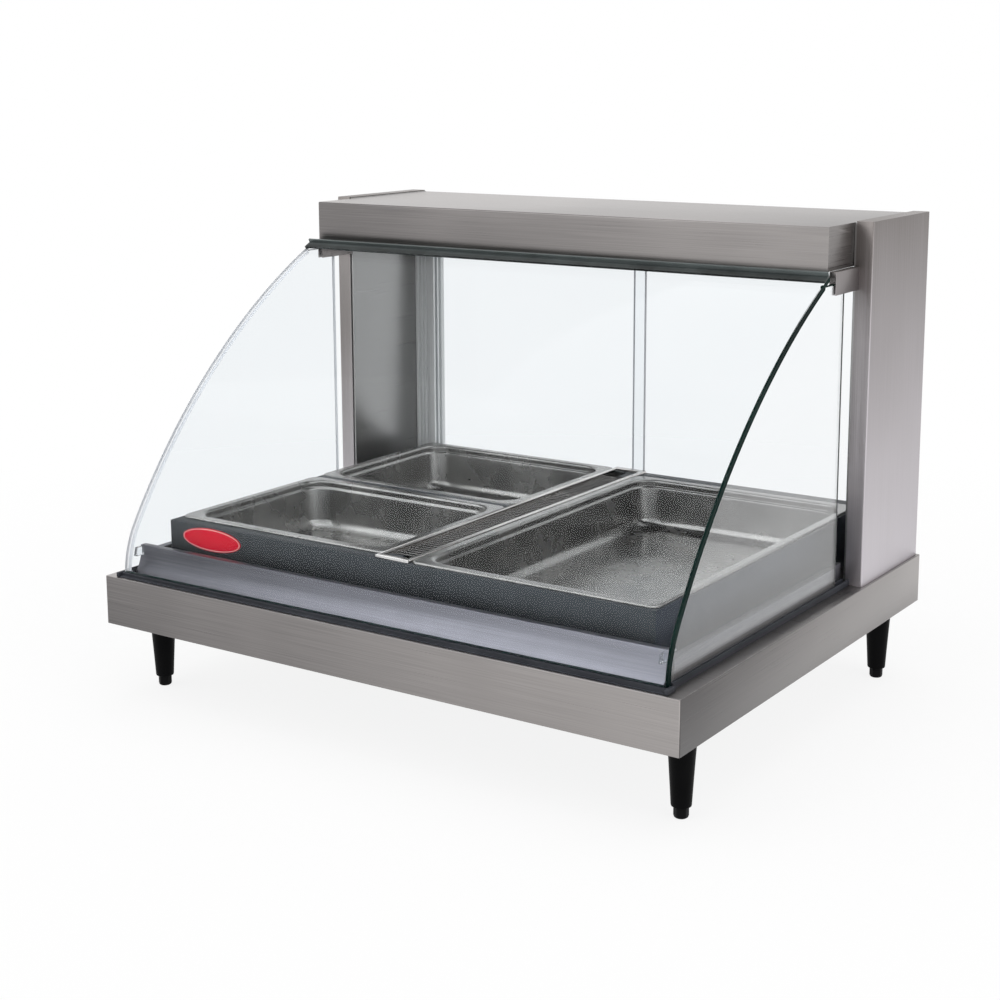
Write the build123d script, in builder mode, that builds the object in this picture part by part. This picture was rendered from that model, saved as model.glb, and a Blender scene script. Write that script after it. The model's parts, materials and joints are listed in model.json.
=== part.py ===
from build123d import *
from math import cos, radians, sin
import os

os.makedirs("parts", exist_ok=True)

# X runs along the counter, +Y goes to the operator's side, Z is up from the feet.
leg_height = 95.0
base_height = 62.5
sheet = 1.2
fold_radius = 2.0
seat_gap = 0.3
running_gap = 0.05

base_bottom = leg_height
base_top = base_bottom + base_height

# Pans: one full-size and two half-size, all with the same flat rim
pan_width = 325.0
pan_full_length = 530.0
pan_half_length = pan_full_length / 2
pan_deep = 65.0
pan_wall = 0.9
pan_slope = 6.0
pan_corner = 38.0
pan_bottom_radius = 14.0
rim_width = 12.0
rim_sheet = 1.0
rim_drop = 2.7
rim_corner = 10.0

# Skirt that carries the pans above the heated deck, and the case's top around it
skirt_rise = 68.5
skirt_side_margin = 2.5
skirt_sheet = 1.5
skirt_lip = 1.5
divider_width = 49.0
pan_front_margin = 4.0
pan_rear_margin = 30.0
half_pan_front_margin = 18.0
cross_bar_width = 11.0
shelf_front = 58.0
shelf_rear = 40.0
shelf_side = 60.5

skirt_width = divider_width + 2 * pan_width + 2 * skirt_side_margin
skirt_depth = pan_front_margin + pan_full_length + pan_rear_margin
case_width = skirt_width + 2 * shelf_side
case_depth = shelf_front + skirt_depth + shelf_rear
front_y = -case_depth / 2
rear_y = case_depth / 2
skirt_front = front_y + shelf_front
skirt_rear = skirt_front + skirt_depth
skirt_top = base_top + skirt_rise
rim_top = skirt_top + seat_gap + rim_drop
pan_centre_x = divider_width / 2 + pan_width / 2
full_front = skirt_front + pan_front_margin
half_front = skirt_front + half_pan_front_margin
half_rear = half_front + pan_half_length + cross_bar_width

# Divider between the left and right pans
bead_width = 5.7
bead_height = 4.0
ledge_depth = 10.0
ledge_reach = 9.5
ledge_inner = 6.0
end_cap_depth = 8.0
divider_front_margin = 2.0
grid_sink = 1.5
wire_radius = 1.0
wire_pitch = 8.0
wire_margin = 4.0
long_wire_radius = 1.25
long_wire_beyond = 2.0

# Heated deck, its sheathed element and the insulation under it
well_margin = 22.0
deck_sheet = 3.0
deck_lap = 8.0
element_radius = 3.25
element_pitch = 60.0
element_runs = 8
element_bend = 27.0
element_side_space = 38.0
insulation_thickness = 21.0
tray_sheet = 0.8
tray_inset = 2.0

# Glass
glass = 6.0
glass_inset = 22.0
glass_foot_back = 12.0
glass_foot_angle = 87.0
lower_radius = 128.0
lower_turn = 29.0
upper_radius = 880.0
upper_turn = 32.0
glass_gap = 1.0
open_gap = 1.2
glass_half_width = case_width / 2 - glass_inset
side_glass_inner = glass_half_width - glass

# Gaskets, aprons and coamings around the foot of the glass
channel_height = 5.0
channel_margin = 4.0
channel_depth = 16.2
channel_web = 1.5
channel_step = 5.0
channel_overhang = 1.5
end_cap_length = 4.0
end_cap_proud = 1.0
gasket_height = 8.0
gasket_floor = 1.5
gasket_wall = 1.2
gasket_set_back = 1.5
apron_rise = 37.5
apron_set_back = 34.0
apron_flange = 9.0
apron_cove = (9.5, 13.5)
coaming_rise = 29.0
coaming_flange = 10.0
coaming_behind = 1.5
stop_width = 6.0
stop_reach = 14.0
stop_drop = 12.0

channel_front = front_y + channel_margin
channel_rear = channel_front + channel_depth
apron_back = front_y + apron_set_back

# Hinge along the top edge of the front glass, measured from the glass's upper outer corner
rail_below = 14.0
rail_beyond = 3.0
rail_above_glass = 3.0
rail_lip_below = 4.0
rail_lip = 2.0
fin_rise = 7.5
fin_span = (-2.5, 0.0)
slot_slack = 0.6
pivot_along = 7.0
pivot_down = 4.0
knuckle_radius = 4.8
pin_radius = 3.0
pin_length = 30.0
lug_width = 3.0
lug_reach = 14.0
lug_inset = 140.5
lug_notch = 4.0
notch_radius = 11.0

# Curve of the front glass in the YZ plane. Its centres of curvature are inside the case.
foot_y = front_y + glass_foot_back
foot_tangent = (cos(radians(glass_foot_angle)), sin(radians(glass_foot_angle)))
foot_z = base_top + channel_height + seat_gap + glass * foot_tangent[0]
top_angle = glass_foot_angle - lower_turn - upper_turn

# Upper outer corner of the front glass, from its two arcs, and the hinge's centre
low_chord = 2 * lower_radius * sin(radians(lower_turn / 2))
low_angle = radians(glass_foot_angle - lower_turn / 2)
high_chord = 2 * upper_radius * sin(radians(upper_turn / 2))
high_angle = radians(top_angle + upper_turn / 2)
glass_top_y = foot_y + low_chord * cos(low_angle) + high_chord * cos(high_angle)
glass_top_z = foot_z + low_chord * sin(low_angle) + high_chord * sin(high_angle)
along = (cos(radians(top_angle)), sin(radians(top_angle)))
pivot_y = glass_top_y + pivot_along * along[0] + pivot_down * along[1]
pivot_z = glass_top_z + pivot_along * along[1] - pivot_down * along[0]
top_plane = Plane(origin=(0, glass_top_y, glass_top_z), x_dir=(0, *along), z_dir=(1, 0, 0))

# Posts and canopy. The posts start at a set distance behind the case's front, as the glass does,
# and the canopy's front edge lies just behind and above the hinge.
post_margin = 3.5
post_width = 25.0
post_set_back = 475.0
post_set_in = 5.0
post_cover = 3.0
post_cover_inset = 2.0
post_above_canopy = 2.0
hinge_clearance = 0.4
canopy_behind_hinge = 2.2
canopy_height = 52.5
canopy_flange = 14.0

post_outer = case_width / 2 - post_margin
post_inner = post_outer - post_width
post_rear = rear_y - post_set_in
post_front = front_y + post_set_back
canopy_front = pivot_y + canopy_behind_hinge
canopy_bottom = pivot_z + knuckle_radius + hinge_clearance
canopy_top = canopy_bottom + canopy_height
canopy_half = post_inner - seat_gap
post_top = canopy_top + post_above_canopy

# Side glass and coamings run back toward the posts
side_glass_to_post = 38.0
side_glass_to_canopy = 15.0
coaming_to_post = 5.0
side_glass_rear = post_front - side_glass_to_post
side_glass_top = canopy_bottom - side_glass_to_canopy
coaming_rear = post_front - coaming_to_post

# Rear sliding doors
door_thickness = 5.0
door_set_in = 31.0
door_plane_step = 10.0
door_overlap = 24.0
jamb_width = 34.0
jamb_set_in = 35.5
jamb_depth = 28.0
flute_shares = (0.42, 0.62, 0.82)
flute_width = 3.0
flute_depth = 2.5
groove_depth = 8.0
door_in_groove = 6.0
groove_slack = 0.5
track_height = 12.0
track_floor = 4.0
top_track_height = 14.0
top_track_web = 2.0
door_top_play = 4.0
pull_width = 14.0
pull_height = 50.0
pull_above_track = 2.0
pull_depth = 4.2
pull_edge = 8.0
pull_corner = 3.0

jamb_inner = post_inner - jamb_width
jamb_front = rear_y - jamb_set_in
door_inner_face = rear_y - door_set_in

# Radiant elements and display lamps in the canopy
radiant_radius = 4.0
radiant_end_space = 64.0
radiant_beyond = 14.0
radiant_offset = 65.0
radiant_rise = 11.5
reflector_mouth = 20.0
reflector_window = (12.0, 8.0)
reflector_crown = 10.0
reflector_height = 24.0
reflector_sheet = 0.8
insulator_length = 12.0
insulator_width = 24.0
lamp_radius = 14.0
lamp_length = 100.0
lamp_inner = 80.0
lamp_rise = 18.0
lamp_cap_length = 14.0
lamp_cap_step = 3.0
lamp_window_margin = 4.0
socket_radius = 15.0
socket_length = 34.0
socket_foot = (6.0, 4.0)
socket_foot_half = 12.0

radiant_half = post_inner - radiant_end_space
reflector_half = radiant_half - radiant_beyond

# Controls in a recess at the rear of the base, measured from the recess's middle
recess_margin = 52.5
recess_width = 320.0
recess_floor = 8.0
recess_height = 46.0
recess_depth = 26.0
control_rise = 31.0
knob_places = (-110.0, -50.0)
rocker_places = (5.0, 45.0)
indicator_place = 85.0
gland_place = 125.0
knob_radius = 16.0
knob_height = 17.0
knob_skirt_radius = 18.0
knob_skirt_height = 4.0
knob_grip_width = 8.0
knob_grip_inset = 0.5
knob_grip_proud = 2.0
knob_cap_step = 2.0
shaft_radius = 3.0
shaft_beyond = 2.0
thermostat_width = 34.0
thermostat_depth = 21.0
shaft_bury = 12.0
rocker_width = 12.0
rocker_height = 19.0
rocker_depth = 7.0
rocker_proud = 3.4
rocker_rest_tilt = 8.0
rocker_gap = 0.8
rocker_sink = 2.0
rocker_dip = 1.4
rocker_draft = 2.0
rocker_pin_radius = 1.5
bezel_border = 3.0
bezel_thickness = 2.0
switch_wall = 1.2
switch_depth = 16.0
cavity_spare = 3.0
indicator_radius = 5.0
indicator_step = 1.0
indicator_buried = 10.0
indicator_proud = 3.0
indicator_round = 1.5
gland_bore = 4.5
gland_radius = 8.0
gland_flange = 11.0
gland_buried = 14.0
gland_length = 30.0
gland_front_flange = 4.0
gland_nut = 5.0

recess_right = case_width / 2 - recess_margin
recess_left = recess_right - recess_width
recess_middle = (recess_left + recess_right) / 2
recess_low = base_bottom + recess_floor
recess_high = recess_low + recess_height
control_level = base_bottom + control_rise
knob_positions = tuple(recess_middle + place for place in knob_places)
rocker_positions = tuple(recess_middle + place for place in rocker_places)
indicator_position = recess_middle + indicator_place
gland_position = recess_middle + gland_place

# Legs and screw-in feet
leg_inset_x = 32.0
leg_inset_front = 66.0
leg_inset_rear = 58.0
leg_top_radius = 16.5
leg_foot_radius = 11.5
leg_collar = 6.0
leg_collar_proud = 0.8
foot_radius = 8.5
foot_height = 12.7
foot_chamfer = 1.0
stem_radius = 6.0
stem_length = 50.0
stud_radius = 5.0
stud_length = 12.0

# Badge plate, fasteners and wiring
badge_width = 96.0
badge_height = 29.0
badge_side_space = 71.0
badge_rise = 52.0
badge_thickness = 1.2
screw_head_radius = 3.6
screw_head_height = 1.8
screw_radius = 2.0
screw_length = 8.0
harness_radius = 3.5
harness_hole = 6.0
harness_bend = 12.0
harness_in_post = 13.0
harness_set_in = 72.0
harness_under_block_top = 5.0
block_length = 30.0
block_width = 20.0
block_height = 24.0
block_margin = 52.5
base_block_ahead = 90.0
canopy_block_gap = 15.0
canopy_block_above = 6.0

harness_x = post_inner + harness_in_post
harness_y = rear_y - harness_set_in


def block(x_span, y_span, z_span, mode=Mode.ADD):
    """A box from its lowest and highest x, y and z, put into the part being built."""
    spans = (x_span, y_span, z_span)
    centre = tuple((low + high) / 2 for low, high in spans)
    with Locations(centre):
        Box(*(high - low for low, high in spans), mode=mode)


def rod(start, direction, radius, length, mode=Mode.ADD):
    """A round bar from a start point along a direction, put into the part being built."""
    with Locations(Plane(origin=start, z_dir=direction)):
        Cylinder(radius, length, align=(Align.CENTER, Align.CENTER, Align.MIN), mode=mode)


def save(piece, label):
    """Name the finished piece and write it as a STEP file."""
    piece.label = label
    export_step(piece, f"parts/{label}.step")


# Base housing: a folded sheet with a well in its top and a window at the rear for the controls
well_left = skirt_width / 2 - well_margin
well_front = skirt_front + well_margin
well_rear = skirt_rear - well_margin

leg_x = case_width / 2 - leg_inset_x
leg_front_y = front_y + leg_inset_front
leg_rear_y = rear_y - leg_inset_rear
leg_points = [(x, y) for x in (-leg_x, leg_x) for y in (leg_front_y, leg_rear_y)]

with BuildPart() as base_housing:
    with BuildSketch(Plane.XY.offset(base_bottom)):
        Rectangle(case_width, case_depth)
    extrude(amount=base_height)
    fillet(base_housing.edges().filter_by(Axis.Z), fold_radius)
    fillet(base_housing.edges().group_by(Axis.Z)[-1], fold_radius / 2)
    with BuildSketch(Plane.XY.offset(base_bottom)):
        Rectangle(case_width - 2 * sheet, case_depth - 2 * sheet)
    extrude(amount=base_height - sheet, mode=Mode.SUBTRACT)
    block((-well_left, well_left), (well_front, well_rear), (base_bottom, base_top), Mode.SUBTRACT)
    window_y = (rear_y - 2 * sheet, rear_y)
    block((recess_left, recess_right), window_y, (recess_low, recess_high), Mode.SUBTRACT)
    rod((harness_x, harness_y, base_bottom), (0, 0, 1), harness_hole, base_height, Mode.SUBTRACT)
save(base_housing.part, "base_housing")

# Bottom cover: a shallow tray inside the housing's lower edge, with rows of vent slots
cover_width = case_width - 2 * sheet - 2 * seat_gap
cover_depth = case_depth - 2 * sheet - 2 * seat_gap
cover_lip = 5.5
vent_length = 50.0
vent_width = 5.0
vent_pitch = 12.0
vent_rows = 8
cover_screw_inset = 22.0
cover_screw_beside_leg = 80.5
cover_screw_columns = (cover_screw_beside_leg - leg_x, 0, leg_x - cover_screw_beside_leg)
cover_screw_rows = (cover_screw_inset - cover_depth / 2, cover_depth / 2 - cover_screw_inset - recess_depth)

with BuildPart() as bottom_cover:
    with BuildSketch(Plane.XY.offset(base_bottom)):
        Rectangle(cover_width, cover_depth)
    extrude(amount=cover_lip)
    with BuildSketch(Plane.XY.offset(base_bottom + sheet)):
        Rectangle(cover_width - 2 * sheet, cover_depth - 2 * sheet)
    extrude(amount=cover_lip, mode=Mode.SUBTRACT)
    with BuildSketch(Plane.XY.offset(base_bottom)):
        with GridLocations(cover_width / 2, vent_pitch, 2, vent_rows):
            SlotOverall(vent_length, vent_width)
    extrude(amount=sheet, mode=Mode.SUBTRACT)
    for x, y in leg_points:
        rod((x, y, base_bottom), (0, 0, 1), stud_radius + seat_gap, sheet, Mode.SUBTRACT)
    for x in cover_screw_columns:
        for y in cover_screw_rows:
            rod((x, y, base_bottom), (0, 0, 1), screw_radius + running_gap, sheet, Mode.SUBTRACT)
save(bottom_cover.part, "bottom_cover")

# Heated deck: a plate clamped under the rim of the well
deck_half = well_left + deck_lap
deck_front = well_front - deck_lap
deck_rear = well_rear + deck_lap
deck_top = base_top - sheet
deck_bottom = deck_top - deck_sheet

with BuildPart() as heat_deck:
    block((-deck_half, deck_half), (deck_front, deck_rear), (deck_bottom, deck_top))
    fillet(heat_deck.edges().filter_by(Axis.Z), fold_radius)
save(heat_deck.part, "heat_deck")

# Sheathed heating element, laid back and forth under the deck
element_z = deck_bottom - seat_gap - element_radius
element_half = deck_half - element_side_space
element_start = (deck_front + deck_rear - (element_runs - 1) * element_pitch) / 2
turns = []
for run in range(element_runs):
    side = -1 if run % 2 == 0 else 1
    run_y = element_start + run * element_pitch
    turns += [(side * element_half, run_y, element_z), (-side * element_half, run_y, element_z)]

with BuildPart() as base_element:
    with BuildLine():
        element_path = FilletPolyline(*turns, radius=element_bend)
    with BuildSketch(Plane(origin=element_path @ 0, z_dir=element_path % 0)):
        Circle(element_radius)
    sweep()
save(base_element.part, "base_element")

# Insulation mat in a thin tray that hangs from the deck
tray_half = deck_half - tray_inset
tray_front = deck_front + tray_inset
tray_rear = deck_rear - tray_inset
mat_top = element_z - element_radius - seat_gap
mat_bottom = mat_top - insulation_thickness
tray_bottom = mat_bottom - tray_sheet

with BuildPart() as insulation_tray:
    block((-tray_half, tray_half), (tray_front, tray_rear), (tray_bottom, deck_bottom))
    inner_x = tray_half - tray_sheet
    inner_y = (tray_front + tray_sheet, tray_rear - tray_sheet)
    block((-inner_x, inner_x), inner_y, (mat_bottom, deck_bottom), Mode.SUBTRACT)
save(insulation_tray.part, "insulation_tray")

with BuildPart() as insulation_mat:
    mat_x = inner_x - seat_gap
    mat_y = (inner_y[0] + seat_gap, inner_y[1] - seat_gap)
    block((-mat_x, mat_x), mat_y, (mat_bottom, mat_top))
save(insulation_mat.part, "insulation_mat")

# Pan skirt: a box with a folded lip, open in the middle where the pans drop in
skirt_half = skirt_width / 2
lip_inner_x = divider_width / 2 + pan_width - rim_width + skirt_lip
full_opening_front = full_front + rim_width - skirt_lip
full_opening_rear = full_front + pan_full_length - rim_width + skirt_lip
half_opening_front = half_front + rim_width - skirt_lip
half_opening_rear = half_rear + pan_half_length - rim_width + skirt_lip

with BuildPart() as pan_skirt:
    block((-skirt_half, skirt_half), (skirt_front, skirt_rear), (base_top, skirt_top))
    fillet(pan_skirt.edges().filter_by(Axis.Z), fold_radius)
    skirt_in = skirt_half - skirt_sheet
    skirt_in_y = (skirt_front + skirt_sheet, skirt_rear - skirt_sheet)
    block((-skirt_in, skirt_in), skirt_in_y, (base_top, skirt_top - skirt_sheet), Mode.SUBTRACT)
    lip_z = (skirt_top - skirt_sheet, skirt_top)
    block((-lip_inner_x, 0), (half_opening_front, half_opening_rear), lip_z, Mode.SUBTRACT)
    block((0, lip_inner_x), (full_opening_front, full_opening_rear), lip_z, Mode.SUBTRACT)
save(pan_skirt.part, "pan_skirt")

# Divider rails: two beads joined by end caps, each with a stepped ledge for the rims and the grid
bead_outer = divider_width / 2 - seat_gap
bead_inner = bead_outer - bead_width
ledge_outer = divider_width / 2 + ledge_reach
ledge_step = bead_outer - bead_width / 2
ledge_front = half_opening_front + seat_gap
ledge_rear = full_opening_rear - seat_gap
ledge_low = skirt_top - ledge_depth
grid_seat = skirt_top - grid_sink
rail_front = skirt_front + divider_front_margin
rail_rear = skirt_rear - pan_front_margin

with BuildPart() as divider_rails:
    for side in (-1, 1):
        bead_x = sorted((side * bead_inner, side * bead_outer))
        step_x = sorted((side * ledge_step, side * ledge_outer))
        grid_x = sorted((side * (ledge_step - ledge_inner), side * ledge_step))
        block(bead_x, (rail_front, rail_rear), (skirt_top, skirt_top + bead_height))
        block(step_x, (ledge_front, ledge_rear), (ledge_low, skirt_top))
        block(grid_x, (ledge_front, ledge_rear), (ledge_low, grid_seat))
    cap_z = (skirt_top, skirt_top + bead_height)
    block((-bead_inner, bead_inner), (rail_front, rail_front + end_cap_depth), cap_z)
    block((-bead_inner, bead_inner), (rail_rear - end_cap_depth, rail_rear), cap_z)
save(divider_rails.part, "divider_rails")

# Wire grid: cross wires welded on two long wires, lying on the ledges
wire_z = grid_seat + seat_gap + wire_radius
wire_half = bead_inner - seat_gap
long_wire_x = ledge_step - ledge_inner - seat_gap - long_wire_radius
long_wire_z = wire_z - wire_radius - long_wire_radius + seat_gap
wire_span = ledge_rear - ledge_front - 2 * wire_margin
wire_count = int(wire_span / wire_pitch) + 1

with BuildPart() as wire_grid:
    for side in (-1, 1):
        start = (side * long_wire_x, ledge_front + wire_margin - long_wire_beyond, long_wire_z)
        rod(start, (0, 1, 0), long_wire_radius, wire_span + 2 * long_wire_beyond)
    for number in range(wire_count):
        wire_y = ledge_front + wire_margin + number * wire_pitch
        rod((-wire_half, wire_y, wire_z), (1, 0, 0), wire_radius, 2 * wire_half)
save(wire_grid.part, "wire_grid")

# Cross bar between the two half-size pans, a flat inverted tee
bar_left = -lip_inner_x
bar_right = -ledge_outer
bar_web_front = half_front + pan_half_length + open_gap / 2
bar_web_rear = half_rear - open_gap / 2
bar_flange = rim_width - 2 * skirt_lip

with BuildPart() as cross_bar:
    flange_y = (bar_web_front - bar_flange, bar_web_rear + bar_flange)
    block((bar_left + seat_gap, bar_right - seat_gap), flange_y, (skirt_top - ledge_depth / 2, skirt_top))
    web_x = (bar_left - rim_width / 2, -bead_outer - seat_gap)
    block(web_x, (bar_web_front, bar_web_rear), (skirt_top, skirt_top + rim_drop))
save(cross_bar.part, "cross_bar")


# Pans: pressed trays with a flat rim, a rolled edge and sloping walls
def pressed_pan(length, centre_x, front_edge):
    """One pan of the given length, hanging by its rim with its front edge at front_edge."""
    centre = (centre_x, front_edge + length / 2)
    with BuildPart() as hollow:
        with BuildSketch(Plane.XY.offset(rim_top)):
            with Locations(centre):
                mouth = 2 * rim_width + 2 * pan_wall
                RectangleRounded(pan_width - mouth, length - mouth, pan_corner - pan_wall)
        extrude(amount=-(pan_deep - pan_wall), taper=pan_slope)
        fillet(hollow.edges().group_by(Axis.Z)[0], pan_bottom_radius - pan_wall)
    with BuildPart() as pan:
        with BuildSketch(Plane.XY.offset(rim_top)):
            with Locations(centre):
                RectangleRounded(pan_width - 2 * rim_width, length - 2 * rim_width, pan_corner)
        extrude(amount=-pan_deep, taper=pan_slope)
        fillet(pan.edges().group_by(Axis.Z)[0], pan_bottom_radius)
        with BuildSketch(Plane.XY.offset(rim_top)):
            with Locations(centre):
                RectangleRounded(pan_width, length, rim_corner)
        extrude(amount=-rim_sheet)
        with BuildSketch(Plane.XY.offset(rim_top)):
            with Locations(centre):
                RectangleRounded(pan_width, length, rim_corner)
                edge = 2 * rim_sheet
                RectangleRounded(pan_width - edge, length - edge, rim_corner - rim_sheet, mode=Mode.SUBTRACT)
        extrude(amount=-rim_drop)
        add(hollow.part, mode=Mode.SUBTRACT)
    return pan.part


save(pressed_pan(pan_full_length, pan_centre_x, full_front), "pan_full")
save(pressed_pan(pan_half_length, -pan_centre_x, half_front), "pan_half_front")
save(pressed_pan(pan_half_length, -pan_centre_x, half_rear), "pan_half_rear")

# Badge plate, bare, on the front of the skirt
badge_centre_x = badge_side_space - skirt_half
with BuildPart() as badge_plate:
    with BuildSketch(Plane.XZ.offset(-skirt_front)):
        with Locations((badge_centre_x, base_top + badge_rise)):
            Ellipse(badge_width / 2, badge_height / 2)
    extrude(amount=badge_thickness)
save(badge_plate.part, "badge_plate")


def curve_start(depth):
    """Lower end of the curve that runs at a depth inward from the glass's outer face."""
    return (foot_y + depth * foot_tangent[1], foot_z - depth * foot_tangent[0])


def glass_band(near, far):
    """Sketch of the band between two depths measured inward from the glass's outer face."""
    with BuildSketch(Plane.YZ) as band:
        with BuildLine():
            low_near = JernArc(curve_start(near), foot_tangent, lower_radius - near, -lower_turn)
            high_near = JernArc(low_near @ 1, low_near % 1, upper_radius - near, -upper_turn)
            low_far = JernArc(curve_start(far), foot_tangent, lower_radius - far, -lower_turn)
            high_far = JernArc(low_far @ 1, low_far % 1, upper_radius - far, -upper_turn)
            Line(low_near @ 0, low_far @ 0)
            Line(high_near @ 1, high_far @ 1)
        make_face()
    return band.sketch


with BuildPart() as front_glass:
    extrude(glass_band(0, glass), amount=glass_half_width, both=True)
save(front_glass.part, "front_glass")

lug_positions = (lug_inset - glass_half_width, glass_half_width - lug_inset)

# Hinge rail: grips the top edge of the glass, closes the gap under the canopy with a fin,
# and carries the knuckle it swings on
with BuildPart() as glass_hinge_rail:
    rail_middle = side_glass_inner - open_gap
    with BuildSketch(top_plane):
        with Locations((-rail_lip_below, rail_above_glass)):
            grip_size = (rail_lip_below + rail_beyond, rail_above_glass + glass + rail_lip)
            Rectangle(*grip_size, align=(Align.MIN, Align.MAX))
        with Locations((pivot_along, -pivot_down)):
            Circle(knuckle_radius)
    extrude(amount=rail_middle, both=True)
    with BuildSketch(top_plane):
        with Locations((-rail_below, rail_above_glass)):
            Rectangle(rail_below, rail_above_glass, align=(Align.MIN, Align.MAX))
        with Locations((fin_span[0], fin_rise)):
            Rectangle(fin_span[1] - fin_span[0], fin_rise, align=(Align.MIN, Align.MAX))
    extrude(amount=glass_half_width, both=True)
    with BuildSketch(top_plane):
        with Locations((-rail_below, running_gap)):
            slot_size = (rail_below + seat_gap, glass + slot_slack)
            Rectangle(*slot_size, align=(Align.MIN, Align.MAX))
    extrude(amount=glass_half_width + 2 * open_gap, both=True, mode=Mode.SUBTRACT)
    for x in lug_positions:
        bore_start = (x - pin_length / 2 - seat_gap, pivot_y, pivot_z)
        rod(bore_start, (1, 0, 0), pin_radius + running_gap, pin_length + 2 * seat_gap, Mode.SUBTRACT)
        notch_start = (x - lug_notch / 2, pivot_y, pivot_z)
        rod(notch_start, (1, 0, 0), notch_radius, lug_notch, Mode.SUBTRACT)
save(glass_hinge_rail.part, "glass_hinge_rail")

# Hinge brackets: a lug under the canopy's front fold and the pin through it
with BuildPart() as glass_hinge_brackets:
    for x in lug_positions:
        lug_x = (x - lug_width / 2, x + lug_width / 2)
        rod((lug_x[0], pivot_y, pivot_z), (1, 0, 0), knuckle_radius, lug_width)
        block(lug_x, (pivot_y, pivot_y + lug_reach), (pivot_z - knuckle_radius, canopy_bottom))
        rod((x - pin_length / 2, pivot_y, pivot_z), (1, 0, 0), pin_radius, pin_length)
save(glass_hinge_brackets.part, "glass_hinge_brackets")

# Channel that the foot of the front glass rests on, stepped down in front, with a plug at each end
channel_half = glass_half_width + channel_overhang
with BuildPart() as glass_channel:
    channel_x = (-channel_half, channel_half)
    block(channel_x, (channel_front, channel_rear), (base_top, base_top + channel_height))
    step_y = (channel_front, channel_front + channel_step)
    block(channel_x, step_y, (base_top + channel_web, base_top + channel_height), Mode.SUBTRACT)
save(glass_channel.part, "glass_channel")

with BuildPart() as channel_end_caps:
    for side in (-1, 1):
        cap_x = sorted((side * channel_half, side * (channel_half + end_cap_length)))
        cap_y = (channel_front - end_cap_proud, channel_rear + end_cap_proud)
        block(cap_x, cap_y, (base_top, base_top + channel_height + end_cap_proud))
    fillet(channel_end_caps.edges().filter_by(Axis.Z), end_cap_proud)
save(channel_end_caps.part, "channel_end_caps")

# Low coamings just inside the side glass, and the cove-shaped apron across the front
coaming_outer = side_glass_inner - gasket_wall - 2 * seat_gap
coaming_inner = coaming_outer - sheet
coaming_front = apron_back + coaming_behind
coaming_top = base_top + coaming_rise
apron_top = base_top + apron_rise
with BuildPart() as side_coamings:
    for side in (-1, 1):
        wall_x = sorted((side * coaming_inner, side * coaming_outer))
        flange_x = sorted((side * (coaming_outer - coaming_flange), side * coaming_outer))
        block(wall_x, (coaming_front, coaming_rear), (base_top, coaming_top))
        block(flange_x, (coaming_front, coaming_rear), (coaming_top - sheet, coaming_top))
save(side_coamings.part, "side_coamings")

apron_half = coaming_inner - seat_gap
cove_start = (channel_rear + seat_gap, base_top + sheet)
cove_middle = (channel_rear + apron_cove[0], base_top + apron_cove[1])
cove_end = (apron_back, apron_top)
with BuildPart() as front_apron:
    with BuildSketch(Plane.YZ):
        with BuildLine():
            face = ThreePointArc(cove_start, cove_middle, cove_end)
            Line(cove_end, (apron_back + apron_flange, apron_top))
            Line((apron_back + apron_flange, apron_top), (apron_back + apron_flange, apron_top - sheet))
            Line((apron_back + apron_flange, apron_top - sheet), (apron_back + sheet, apron_top - sheet))
            low_rear = (cove_start[0] + sheet, base_top)
            mid_rear = (cove_middle[0] + sheet, cove_middle[1] - sheet / 2)
            ThreePointArc((apron_back + sheet, apron_top - sheet), mid_rear, low_rear)
            Line(low_rear, (cove_start[0], base_top))
            Line((cove_start[0], base_top), cove_start)
        make_face()
    extrude(amount=apron_half, both=True)
save(front_apron.part, "front_apron")

# Stops at the upper corners of the apron, shaped to the inside of the glass, which closes on them
stop_inner = apron_half - stop_width
with BuildPart() as glass_stops:
    stop_band = glass_band(glass + seat_gap, glass + seat_gap + stop_reach)
    extrude(stop_band, amount=apron_half, both=True)
    all_y = (front_y, rear_y)
    block((-stop_inner, stop_inner), all_y, (base_top, post_top), Mode.SUBTRACT)
    block((-apron_half, apron_half), all_y, (base_top, apron_top - stop_drop), Mode.SUBTRACT)
    block((-apron_half, apron_half), all_y, (apron_top - sheet, post_top), Mode.SUBTRACT)
    with BuildSketch(Plane.YZ):
        with BuildLine():
            ThreePointArc(cove_start, cove_middle, cove_end)
            Polyline(cove_end, (rear_y, apron_top), (rear_y, cove_start[1]), cove_start)
        make_face()
    extrude(amount=apron_half, both=True, mode=Mode.SUBTRACT)
save(glass_stops.part, "glass_stops")

# Side glass, bounded in front by the curve of the front glass
gasket_low = base_top + gasket_floor
side_glass_bottom = gasket_low + seat_gap
for side, label in ((-1, "side_glass_left"), (1, "side_glass_right")):
    with BuildPart() as side_glass:
        with BuildSketch(Plane.YZ.offset(side * (glass_half_width - glass / 2))):
            with BuildLine():
                depth = glass + glass_gap
                low = JernArc(curve_start(depth), foot_tangent, lower_radius - depth, -lower_turn)
                high = JernArc(low @ 1, low % 1, upper_radius - depth, -upper_turn)
                Polyline(
                    high @ 1,
                    (side_glass_rear, (high @ 1).Y),
                    (side_glass_rear, side_glass_bottom),
                    (channel_rear + seat_gap, side_glass_bottom),
                    (channel_rear + seat_gap, foot_z),
                    low @ 0,
                )
            make_face()
        extrude(amount=glass / 2, both=True)
        block((-case_width, case_width), (front_y, rear_y), (side_glass_top, post_top), Mode.SUBTRACT)
    save(side_glass.part, label)

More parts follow.
